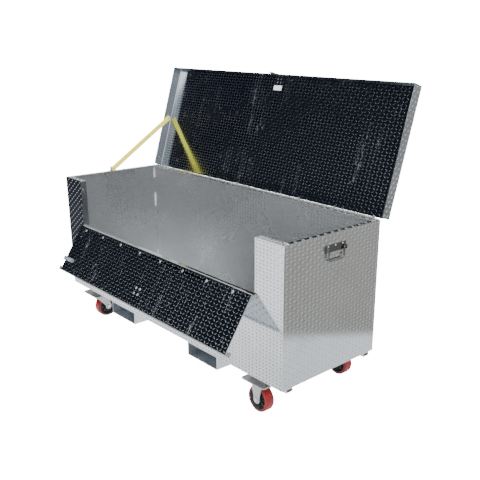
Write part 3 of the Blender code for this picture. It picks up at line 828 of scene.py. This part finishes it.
# Radius of the inner welds, and how far they stand off the corner.
BEAD = 0.0052
BEAD_TUCK = BEAD * 0.3


class TOOLBOX_OT_finishes(bpy.types.Operator):
    """Make the finishes and give one to every CAD node."""
    bl_idname = "toolbox.finishes"
    bl_label = "Finishes"
    bl_options = {"REGISTER", "UNDO"}

    def execute(self, context):
        make_materials()
        names = {row["node"]: row["material_slot"] for row in frame["record"]["subparts"]}
        finish_of = {"red_tyre": "tyre_red", "dark_hub": "hub_dark", "white_label": "label_white"}
        for node, item in frame["nodes"].items():
            finish = MATERIALS[finish_of.get(names[node], names[node])]
            for slot in item.material_slots:
                slot.material = finish
        return {"FINISHED"}


class TOOLBOX_OT_chest(bpy.types.Operator):
    """Walls, posts, caps and floor with rounded sheet edges."""
    bl_idname = "toolbox.chest"
    bl_label = "Chest"
    bl_options = {"REGISTER", "UNDO"}

    def execute(self, context):
        edge = sizes().edge_radius
        for node, axis, sign in (("left_wall", 0, 1), ("right_wall", 0, -1),
                                 ("left_front_post", 1, 1), ("right_front_post", 1, 1),
                                 ("lower_front_wall", 1, 1)):
            refined(node, edge, "tread_plate", "tread_plate",
                    inside=lambda face: face.normal[axis] * sign > 0.5)
        refined("floor_pan", edge, "darker_floor_sheet", "plain_sheet")
        for node in ("back_wall", "left_post_cap", "right_post_cap"):
            refined(node, edge, "inner_sheet", "plain_sheet")
        for side in SIDES:
            self.inner_welds(side, SIGN[side])
            self.rim_welds(side, SIGN[side])
        self.floor_welds()
        return {"FINISHED"}

    def inner_welds(self, side, sign):
        """Stitch welds up a back corner and along the floor there."""
        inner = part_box("floor_pan")[1]
        x = sign * (inner.x - BEAD_TUCK)
        y = inner.y - BEAD_TUCK
        for number, (low, high) in enumerate(((0.004, 0.075), (0.375, 0.455), (0.560, 0.625))):
            weld(f"{side}_corner_weld_{number}", (x, y, low), (x, y, high), BEAD)
        weld(f"{side}_floor_weld", (x, inner.y - 0.09, BEAD_TUCK), (x, inner.y - 0.01, BEAD_TUCK), BEAD)

    def rim_welds(self, side, sign):
        """Short welds where the rim flange, post and cap meet."""
        rim_bead = 0.0022
        post_bead = 0.0018
        top = RIM - 0.001
        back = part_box("back_wall")[0].y + 0.001
        outer = sign * (CHEST_HIGH.x - 0.0015)
        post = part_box(f"{side}_front_post")[0].y
        cap = post + SHEET + 0.029
        weld(f"{side}_rim_weld", (sign * (CHEST_HIGH.x - 0.022), back, top),
             (sign * (CHEST_HIGH.x - 0.004), back, top), rim_bead)
        weld(f"{side}_post_weld", (outer, post + 0.0015, RIM - 0.030),
             (outer, post + 0.0015, RIM - 0.002), post_bead)
        weld(f"{side}_cap_weld", (sign * (CHEST_HIGH.x - 0.034), cap, top),
             (sign * (CHEST_HIGH.x - 0.006), cap, top), rim_bead)

    def floor_welds(self):
        """Stitch welds between the floor and the back wall."""
        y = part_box("floor_pan")[1].y - BEAD_TUCK
        stitch = 0.07
        for number in range(5):
            x = -0.70 + number * 0.35
            weld(f"floor_back_weld_{number}", (x, y, BEAD_TUCK), (x + stitch, y, BEAD_TUCK), BEAD)


class TOOLBOX_OT_tread(bpy.types.Operator):
    """Raised lugs on every tread-plate face."""
    bl_idname = "toolbox.tread"
    bl_label = "Tread pattern"
    bl_options = {"REGISTER", "UNDO"}

    def execute(self, context):
        self.chest_fields()
        self.lid_fields()
        self.door_fields()
        return {"FINISHED"}

    def chest_fields(self):
        """Walls, posts, caps and rim flanges."""
        low = CHEST_LOW
        high = CHEST_HIGH
        depth = high.y - low.y
        height = high.z - low.z
        flange = 0.023
        lug_field("right_wall_lugs", (high.x, low.y, low.z), (0, depth, 0), (0, 0, height), "chest")
        lug_field("left_wall_lugs", (low.x, high.y, low.z), (0, -depth, 0), (0, 0, height), "chest")
        for side in SIDES:
            a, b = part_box(f"{side}_front_post")
            lug_field(f"{side}_post_lugs", a, (b.x - a.x, 0, 0), (0, 0, height), "chest")
            a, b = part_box(f"{side}_wall")
            edge = a.x + flange if side == "left" else b.x
            lug_field(f"{side}_rim_lugs", (edge, low.y + 0.034, RIM), (0, depth - 0.066, 0),
                      (-flange, 0, 0), "chest", margin=0.0015)
            a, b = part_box(f"{side}_post_cap")
            lug_field(f"{side}_cap_lugs", (a.x, a.y, RIM), (b.x - a.x, 0, 0), (0, b.y - a.y, 0), "chest")
        a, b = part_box("lower_front_wall")
        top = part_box("door_hinge_body_leaf")[0].z
        lug_field("sill_lugs", a, (b.x - a.x, 0, 0), (0, 0, top - a.z), "chest")
        a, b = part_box("back_wall")
        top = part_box("lid_hinge_body_leaf")[0].z
        lug_field("back_wall_lugs", (b.x, b.y, a.z), (a.x - b.x, 0, 0), (0, 0, top - a.z), "chest")
        lug_field("back_rim_lugs", (a.x + 0.02, a.y, RIM), (b.x - a.x - 0.04, 0, 0),
                  (0, b.y - a.y, 0), "chest", margin=0.001)

    def lid_fields(self):
        """Outside, underside and skirts of the lid."""
        a, b = shut_box("lid_tray", LID_TURN)
        wide = b.x - a.x
        deep = b.y - a.y
        skirt = (0, 0, b.z - a.z)
        lug_field("lid_top_lugs", (a.x, a.y, b.z), (wide, 0, 0), (0, deep, 0), "lid", turn=LID_TURN)
        lug_field("lid_inner_lugs", (b.x - SHEET, a.y + SHEET, b.z - SHEET), (2 * SHEET - wide, 0, 0),
                  (0, deep - 2 * SHEET, 0), "lid", turn=LID_TURN, material="mirror_lugs", rise=0.0007)
        for name, corner, along in (("front", a, (wide, 0, 0)),
                                    ("right", (b.x, a.y, a.z), (0, deep, 0)),
                                    ("left", (a.x, b.y, a.z), (0, -deep, 0))):
            lug_field(f"lid_{name}_lugs", corner, along, skirt, "lid", turn=LID_TURN)

    def door_fields(self):
        """Both faces of the door."""
        a, b = shut_box("door_panel", DOOR_TURN)
        wide = b.x - a.x
        height = (0, 0, b.z - a.z)
        lug_field("door_inner_lugs", (b.x, a.y + SHEET, a.z), (-wide, 0, 0), height, "door",
                  turn=DOOR_TURN, material="mirror_lugs", rise=0.0010)
        lug_field("door_outer_lugs", a, (wide, 0, 0), height, "door", turn=DOOR_TURN)


class TOOLBOX_OT_underside(bpy.types.Operator):
    """Fork pockets and rails."""
    bl_idname = "toolbox.underside"
    bl_label = "Underside"
    bl_options = {"REGISTER", "UNDO"}

    def execute(self, context):
        edge = sizes().edge_radius
        for side in SIDES:
            low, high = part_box(f"{side}_fork_pocket")
            middle = (low.x + high.x) / 2
            reach = (high.x - low.x) / 2 - SHEET / 2
            # Faces inside the pocket get the painted shade finish in place of the plain sheet.
            refined(f"{side}_fork_pocket", edge, "plain_sheet", "plain_sheet",
                    inside=lambda face: abs(face.center.x - middle) < reach
                    and face.center.z > low.z + SHEET / 2 and abs(face.normal.y) < 0.5,
                    inner_finish="painted_pocket_shade")
        for row in ROWS:
            for place in ("left", "middle", "right"):
                refined(f"{row}_rail_{place}", edge, "plain_sheet", "zinc_steel")
        return {"FINISHED"}


class TOOLBOX_OT_hinges(bpy.types.Operator):
    """Long knuckle hinges of the lid and the door, with their rivets."""
    bl_idname = "toolbox.hinges"
    bl_label = "Hinges"
    bl_options = {"REGISTER", "UNDO"}

    def execute(self, context):
        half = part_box("lid_hinge_pin")[1].x
        long_leaf("lid_hinge_body_leaf", LID_AXIS, -1, -1, half, False)
        long_leaf("lid_hinge_lid_leaf", LID_AXIS, -1, 1, half, True, LID_TURN)
        above = LID_AXIS.z + LEAF_ROW
        below = LID_AXIS.z - LEAF_ROW
        outer = LID_AXIS.y - LEAF_FACE
        within = LID_AXIS.y - 0.0095
        spots = [-0.84 + number * 0.24 for number in range(8)]
        rivets("lid_hinge_body_rivets", [(x, outer, below) for x in spots], (0, 1, 0), "chest")
        rivets("lid_hinge_lid_rivets", [(x, outer, above) for x in spots], (0, 1, 0), "lid", LID_TURN)
        rivets("lid_skirt_rivets", [(x, within, above) for x in spots], (0, -1, 0), "lid", LID_TURN)

        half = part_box("door_hinge_pin")[1].x
        long_leaf("door_hinge_body_leaf", DOOR_AXIS, 1, -1, half, False)
        long_leaf("door_hinge_door_leaf", DOOR_AXIS, 1, 1, half, True, DOOR_TURN)
        below = DOOR_AXIS.z - LEAF_ROW
        outer = DOOR_AXIS.y + LEAF_FACE
        rivets("door_hinge_body_rivets", [(x, outer, below) for x in DOOR_ROW], (0, -1, 0), "chest")
        return {"FINISHED"}


class TOOLBOX_OT_lid(bpy.types.Operator):
    """Lid tray, striker and blank label plate."""
    bl_idname = "toolbox.lid"
    bl_label = "Lid"
    bl_options = {"REGISTER", "UNDO"}

    def execute(self, context):
        refined("lid_tray", sizes().edge_radius, "mirror_plate", "tread_plate")
        refined("lid_striker", 0.0006, "zinc_steel", "zinc_steel")
        refined("lid_label_plate", 0.0003, "label_white", "white_label")
        refined("strap_lid_tab", 0.0004, "zinc_steel", "zinc_steel")
        a, b = shut_box("lid_tray", LID_TURN)
        under = b.z - SHEET
        front = a.y + SHEET
        back = b.y - SHEET
        for side, x in (("left", a.x + SHEET), ("right", b.x - SHEET)):
            bead = weld(f"lid_{side}_corner_weld", (x, front, under), (x, back, under), 0.0016, "lid")
            bead.data.transform(LID_TURN)
        spots = [(x, front + y, under) for x in (-0.013, 0.013) for y in (0.012, 0.030)]
        rivets("striker_rivets", spots, (0, 0, -1), "lid", LID_TURN, 0.0045)
        low, high = shut_box("strap_lid_tab", LID_TURN)
        centre = (low + high) / 2
        spots = [(a.x, centre.y + dy, centre.z) for dy in (-0.010, 0.010)]
        rivets("strap_bolt_heads", spots, (-1, 0, 0), "lid", LID_TURN, 0.0060)
        return {"FINISHED"}


class TOOLBOX_OT_door(bpy.types.Operator):
    """Door panel, edge strip, latch parts, sliding bolt and stops."""
    bl_idname = "toolbox.door"
    bl_label = "Door"
    bl_options = {"REGISTER", "UNDO"}

    def execute(self, context):
        refined("door_panel", 0.0005, "mirror_plate", "tread_plate", segments=1)
        refined("door_edge_strip", 0.0008, "plain_sheet", "plain_sheet")
        refined("door_latch_plate", 0.0005, "zinc_steel", "zinc_steel")
        refined("latch_pawl", 0.0005, "zinc_steel", "zinc_steel")
        refined("bolt_housing", 0.0008, "chrome_steel", "chrome_steel")
        refined("door_bolt", 0.0006, "chrome_steel", "chrome_steel")
        for side in SIDES:
            refined(f"{side}_door_stop", 0.0005, "zinc_steel", "zinc_steel")
        inner = shut_box("door_panel", DOOR_TURN)[0].y + SHEET
        spots = [(x, inner, DOOR_AXIS.z + 0.020) for x in DOOR_ROW]
        rivets("door_hinge_rivets", spots, (0, 1, 0), "door", DOOR_TURN, 0.0068)
        low, high = shut_box("door_latch_plate", DOOR_TURN)
        middle = (low.z + high.z) / 2
        spots = [(x, inner, middle + dz) for x in (-0.0165, 0.0165) for dz in (-0.014, 0.014)]
        rivets("door_latch_rivets", spots, (0, 1, 0), "door", DOOR_TURN, 0.0066)
        return {"FINISHED"}


class TOOLBOX_OT_handles(bpy.types.Operator):
    """Drop handles on the end walls."""
    bl_idname = "toolbox.handles"
    bl_label = "Handles"
    bl_options = {"REGISTER", "UNDO"}

    def execute(self, context):
        for side in SIDES:
            refined(f"{side}_handle_plate", 0.0005, "handle_steel", "chrome_steel")
            low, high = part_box(f"{side}_handle_bail")
            radius = (high.x - low.x) / 2
            path = self.bail_path(JOINT_PLACE[f"{side}_handle_swing"], low.z + radius, high.y, radius)
            bail = wire(f"{side}_bail_wire", path, radius)
            seat(bail, f"{side}_bail", "handle_steel", "chrome_steel", f"{side}_handle_bail")
            low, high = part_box(f"{side}_handle_plate")
            sign = SIGN[side]
            face = sign * (CHEST_HIGH.x + 0.0022)
            spots = [(face, y, high.z - 0.007) for y in (low.y + 0.02, 0.0, high.y - 0.02)]
            rivets(f"{side}_handle_rivets", spots, (sign, 0, 0), "chest", radius=0.0042)
        return {"FINISHED"}

    def bail_path(self, axis, bottom, reach, radius):
        """Points of a drop handle: in from its pivot, down, round the corner, and mirrored."""
        half = reach - radius * 3.2
        shoulder = 0.004
        corner = 0.014
        path = [(axis.x, 0.001 - reach, axis.z), (axis.x, -half - shoulder, axis.z)]
        for number in range(1, 5):
            angle = math.radians(22.5 * number)
            path.append((axis.x, shoulder * (math.sin(angle) - 1) - half,
                         axis.z - shoulder * (1 - math.cos(angle))))
        for number in range(9):
            angle = math.radians(11.25 * number)
            path.append((axis.x, corner * (1 - math.cos(angle)) - half,
                         bottom + corner * (1 - math.sin(angle))))
        return path + [(x, -y, z) for x, y, z in reversed(path)]


class TOOLBOX_OT_casters(bpy.types.Operator):
    """Caster frames, plates, forks and axles."""
    bl_idname = "toolbox.casters"
    bl_label = "Casters"
    bl_options = {"REGISTER", "UNDO"}

    def execute(self, context):
        for row in ROWS:
            for part in ("right_caster_frame", "left_caster_plate", "left_swivel_fork"):
                refined(f"{row}_{part}", CASTER_EDGE, "caster_steel", "zinc_steel")
            for side in SIDES:
                refined(f"{row}_{side}_axle", CASTER_EDGE, "chrome_steel", "zinc_steel")
        return {"FINISHED"}


class TOOLBOX_OT_wheels(bpy.types.Operator):
    """Red tyres on dark ribbed hubs."""
    bl_idname = "toolbox.wheels"
    bl_label = "Wheels"
    bl_options = {"REGISTER", "UNDO"}

    def execute(self, context):
        low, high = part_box("front_left_tyre")
        radius = (high.z - low.z) / 2
        half = 0.024
        rim = radius - 0.011
        tyre = self.tyre(radius, rim, half)
        hub = self.hub(rim, half)
        for row in ROWS:
            for side in SIDES:
                name = f"{row}_{side}"
                low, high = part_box(f"{name}_tyre")
                axis = Vector((1, 0, 0)) if side == "left" else Vector((0, 1, 0))
                aim = axis.to_track_quat("Z", "Y").to_matrix().to_4x4()
                place = Matrix.Translation((low + high) / 2) @ aim
                seat(own_copy(f"{name}_tyre_turned", tyre.data, place), f"{name}_wheel", "tyre_red",
                     "red_tyre", f"{name}_tyre")
                seat(own_copy(f"{name}_hub_ribbed", hub.data, place), f"{name}_wheel", "hub_dark",
                     "dark_hub", f"{name}_hub")
        bpy.data.objects.remove(tyre)
        bpy.data.objects.remove(hub)
        return {"FINISHED"}

    def tyre(self, radius, rim, half):
        """A tread with round shoulders."""
        shoulder = 0.007
        arc = []
        for number in range(9):
            angle = math.radians(11.25 * number)
            arc.append((radius - shoulder * (1 - math.cos(angle)), half - shoulder * (1 - math.sin(angle))))
        ring = arc + [(rim, half), (rim, -half)] + [(r, -z) for r, z in reversed(arc)]
        return turned("tyre", ring, sizes().wheel_steps)

    def hub(self, rim, half):
        """Dished centre with a rim lip, ribs and a bearing boss."""
        outer = rim - 0.0003
        lip = half - 0.0010
        ring = [(outer, lip), (outer - 0.003, lip), (outer - 0.005, lip - 0.003),
                (outer - 0.008, 0.009), (outer - 0.011, 0.006), (0.024, 0.005),
                (0.021, 0.008), (0.0185, 0.021), (0.0175, 0.0225), (0.012, 0.0225),
                (0.0110, 0.0215), (0.0064, 0.0215)]
        ring += [(r, -z) for r, z in reversed(ring)]
        rib = add_block("rib", (0.018, -0.002, -0.013), (outer - 0.006, 0.002, 0.013))
        turns = [Matrix.Rotation(math.radians(45 * number), 4, "Z") for number in range(8)]
        ribs = [own_copy("rib_copy", rib.data, turn) for turn in turns]
        bpy.data.objects.remove(rib)
        centre = turned("hub", ring, sizes().wheel_steps)
        return round_edges(join("hub", [centre, *ribs]), 0.0004, segments=1, angle=50.0)


class TOOLBOX_OT_strap(bpy.types.Operator):
    """Yellow stay strap from the wall bracket up to the lid, made as a straight crowned strip."""
    bl_idname = "toolbox.strap"
    bl_label = "Stay strap"
    bl_options = {"REGISTER", "UNDO"}

    def execute(self, context):
        refined("strap_wall_bracket", 0.0004, "zinc_steel", "zinc_steel")
        points = sorted((v.co for v in frame["nodes"]["lid_strap"].data.vertices), key=lambda co: co.z)
        half = len(points) // 2
        low = sum(points[:half], Vector()) / half
        top = sum(points[half:], Vector()) / half
        along = (top - low).normalized()
        across = Vector((1, 0, 0))
        across = (across - along * along.dot(across)).normalized()
        wide = along.cross(across)
        basis = Matrix((along, wide, across)).transposed().to_4x4()
        length = (top - low).length - 0.002
        width = 0.0290
        crown = 0.0009
        deselect()
        bpy.ops.mesh.primitive_grid_add(x_subdivisions=90, y_subdivisions=6, size=1.0, calc_uvs=True)
        strap = bpy.context.object
        strap.scale = (length, width, 1.0)
        settle(strap, "stay_strap")
        for vertex in strap.data.vertices:
            edge = abs(vertex.co.y) / (width / 2)
            vertex.co.z = crown * (1 - edge * edge)
        run_modifier(strap, "SOLIDIFY", thickness=0.0014, offset=0.0)
        shade(strap, 50.0)
        strap.data.transform(Matrix.Translation((low + top) / 2) @ basis)
        paint(strap, "webbing")
        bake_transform(strap)
        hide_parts("lid_strap")
        proud = across * 0.0012
        rivets("strap_wall_bolt", [low + along * 0.010 + proud], across, "chest", radius=0.0060)
        rivets("strap_lid_bolt", [top - along * 0.012 + proud], across, "lid", radius=0.0060)
        return {"FINISHED"}


class TOOLBOX_OT_stage(bpy.types.Operator):
    """Pale floor, soft lights, studio surroundings and the camera."""
    bl_idname = "toolbox.stage"
    bl_label = "Stage"
    bl_options = {"REGISTER", "UNDO"}

    def execute(self, context):
        self.floor()
        self.world()
        self.lights()
        self.camera()
        return {"FINISHED"}

    def floor(self):
        """A wide pale floor, bright to look at, that fades into the surroundings."""
        deselect()
        bpy.ops.mesh.primitive_plane_add(size=40.0, location=(0, 0, GROUND - 0.0005))
        plane = settle(bpy.context.object, "studio_floor")
        material = bpy.data.materials.new("studio_floor")
        material.use_nodes = True
        plane.data.materials.append(material)
        tree = material.node_tree
        plain = tree.nodes["Principled BSDF"]
        plain.inputs["Base Color"].default_value = (*colours().floor, 1.0)
        plain.inputs["Roughness"].default_value = 0.9
        plain.inputs["Specular IOR Level"].default_value = 0.1
        seen = tree.nodes.new("ShaderNodeEmission")
        seen.inputs["Strength"].default_value = 16.0
        total = tree.nodes.new("ShaderNodeAddShader")
        fill(tree, total.inputs[0], plain.outputs[0])
        fill(tree, total.inputs[1], seen.outputs[0])
        clear = tree.nodes.new("ShaderNodeBsdfTransparent")
        place = tree.nodes.new("ShaderNodeTexCoord").outputs["Object"]
        ray = tree.nodes.new("ShaderNodeLightPath").outputs
        mirrored = self.mirrored_floor(tree, place)
        surface = mixed_shader(tree, ray["Is Glossy Ray"], plain.outputs[0], mirrored)
        surface = mixed_shader(tree, ray["Is Camera Ray"], surface, total.outputs[0])
        away = vector_step(tree, "LENGTH", place, result="Value")
        edge = self.ramp(tree, away, 0.0, 6.0, [(3.5, (0.0, 0.0, 0.0)), (5.5, (1.0, 1.0, 1.0))])
        surface = mixed_shader(tree, edge, surface, clear.outputs[0])
        fill(tree, tree.nodes["Material Output"].inputs["Surface"], surface)

    def mirrored_floor(self, tree, place):
        """What the bright sheet mirrors of the floor: paler near the box, dark far to the left."""
        bright = (1.5, 1.53, 1.57)
        near = (1.00, 1.05, 1.09)
        grey = (0.36, 0.358, 0.330)
        behind = self.ramp(tree, self.reach(tree, place, (0.81, 0.59, 0.0)), -1.0, 3.0,
                           [(-0.9, bright), (0.70, near), (1.40, near), (1.50, grey)])
        side = self.ramp(tree, self.reach(tree, place, (1.0, 0.0, 0.0)), -3.0, -1.0,
                         [(-2.20, (0.03, 0.034, 0.042)), (-1.95, (0.55, 0.56, 0.57)),
                          (-1.4, (1.0, 1.0, 1.0))])
        glow = tree.nodes.new("ShaderNodeEmission")
        fill(tree, glow.inputs["Color"], vector_step(tree, "MULTIPLY", behind, side))
        return glow.outputs[0]

    def reach(self, tree, place, direction):
        """How far a point lies in a direction."""
        return vector_step(tree, "DOT_PRODUCT", place, Vector(direction).normalized(), result="Value")

    def ramp(self, tree, value, low, high, stops):
        """A colour by how far a value lies between two limits."""
        node = tree.nodes.new("ShaderNodeValToRGB")
        points = node.color_ramp.elements
        while len(points) < len(stops):
            points.new(0.5)
        for point, (spot, colour) in zip(points, stops):
            point.position = (spot - low) / (high - low)
            point.color = (*colour, 1.0)
        fill(tree, node.inputs["Fac"], fitted(tree, value, From_Min=low, From_Max=high))
        return node.outputs["Color"]

    def world(self):
        """Pale to look at, with a dark quarter in front to the left that the bright sheet mirrors."""
        world = bpy.data.worlds.new("studio")
        bpy.context.scene.world = world
        world.use_nodes = True
        tree = world.node_tree
        place = tree.nodes.new("ShaderNodeTexCoord").outputs["Generated"]
        split = tree.nodes.new("ShaderNodeSeparateXYZ")
        fill(tree, split.inputs[0], place)
        cone = fitted(tree, self.reach(tree, place, (-0.66, -0.70, 0.25)), smooth=True,
                      From_Min=0.20, From_Max=0.55)
        sky = self.ramp(tree, split.outputs["Z"], -0.1, 0.9,
                        [(-0.1, (0.30, 0.30, 0.29)), (0.9, (1.0, 1.02, 1.05))])
        studio = tree.nodes["Background"]
        fill(tree, studio.inputs["Color"], mixed(tree, cone, sky, (0.010, 0.012, 0.018)))
        studio.inputs["Strength"].default_value = 1.6
        ray = tree.nodes.new("ShaderNodeLightPath").outputs
        surface = studio.outputs[0]
        for flag, strength in (("Is Diffuse Ray", 2.2), ("Is Camera Ray", 17.0)):
            flat = tree.nodes.new("ShaderNodeBackground")
            flat.inputs["Color"].default_value = (1.0, 1.0, 1.0, 1.0)
            flat.inputs["Strength"].default_value = strength
            surface = mixed_shader(tree, ray[flag], surface, flat.outputs[0])
        fill(tree, tree.nodes["World Output"].inputs["Surface"], surface)

    def lights(self):
        """Two soft boxes overhead."""
        for name, place, aim, size, power in (
                ("key_light", (1.6, -2.2, 3.4), (0.0, 0.0, 0.3), 2.4, 60.0),
                ("back_light", (-1.8, 2.4, 3.2), (0.0, 0.0, 0.5), 2.4, 40.0)):
            lamp = bpy.data.lights.new(name, "AREA")
            lamp.shape = "SQUARE"
            lamp.size = size
            lamp.energy = power
            item = bpy.data.objects.new(name, lamp)
            item.location = place
            item.rotation_euler = (Vector(aim) - Vector(place)).to_track_quat("-Z", "Y").to_euler()
            bpy.context.scene.collection.objects.link(item)

    def camera(self):
        """The view from the front right, a little above the rim."""
        data = bpy.data.cameras.new("camera")
        data.lens = sizes().lens
        data.sensor_width = 36.0
        data.shift_x = -0.069
        data.shift_y = 0.030
        item = bpy.data.objects.new("camera", data)
        item.location = (2.668, -2.037, 1.405)
        turn = Matrix.Rotation(sizes().view_turn, 4, "Z")
        dip = Matrix.Rotation(math.radians(90) - sizes().view_dip, 4, "X")
        roll = Matrix.Rotation(math.radians(0.62), 4, "Z")
        item.rotation_euler = (turn @ dip @ roll).to_euler()
        bpy.context.scene.collection.objects.link(item)
        bpy.context.scene.camera = item


class TOOLBOX_PT_panel(bpy.types.Panel):
    """Lists the builders in the sidebar."""
    bl_label = "Rolling Tool Box"
    bl_idname = "TOOLBOX_PT_panel"
    bl_space_type = "VIEW_3D"
    bl_region_type = "UI"
    bl_category = "Tool Box"

    def draw(self, context):
        for builder in BUILDERS:
            self.layout.operator(builder.bl_idname)


BUILDERS = (TOOLBOX_OT_finishes, TOOLBOX_OT_chest, TOOLBOX_OT_tread, TOOLBOX_OT_underside,
            TOOLBOX_OT_hinges, TOOLBOX_OT_lid, TOOLBOX_OT_door, TOOLBOX_OT_handles,
            TOOLBOX_OT_casters, TOOLBOX_OT_wheels, TOOLBOX_OT_strap, TOOLBOX_OT_stage)
CLASSES = (ToolBoxSizes, ToolBoxColours, *BUILDERS, TOOLBOX_PT_panel)


def register():
    """Add the settings, operators and panel."""
    for item in CLASSES:
        bpy.utils.register_class(item)
    bpy.types.Scene.tool_box_sizes = PointerProperty(type=ToolBoxSizes)
    bpy.types.Scene.tool_box_colours = PointerProperty(type=ToolBoxColours)


def unregister():
    """Take them away again."""
    del bpy.types.Scene.tool_box_colours
    del bpy.types.Scene.tool_box_sizes
    for item in reversed(CLASSES):
        bpy.utils.unregister_class(item)


def main():
    """Build everything in order."""
    register()
    for builder in BUILDERS:
        group, name = builder.bl_idname.split(".")
        getattr(getattr(bpy.ops, group), name)()


if __name__ == "__main__":
    main()
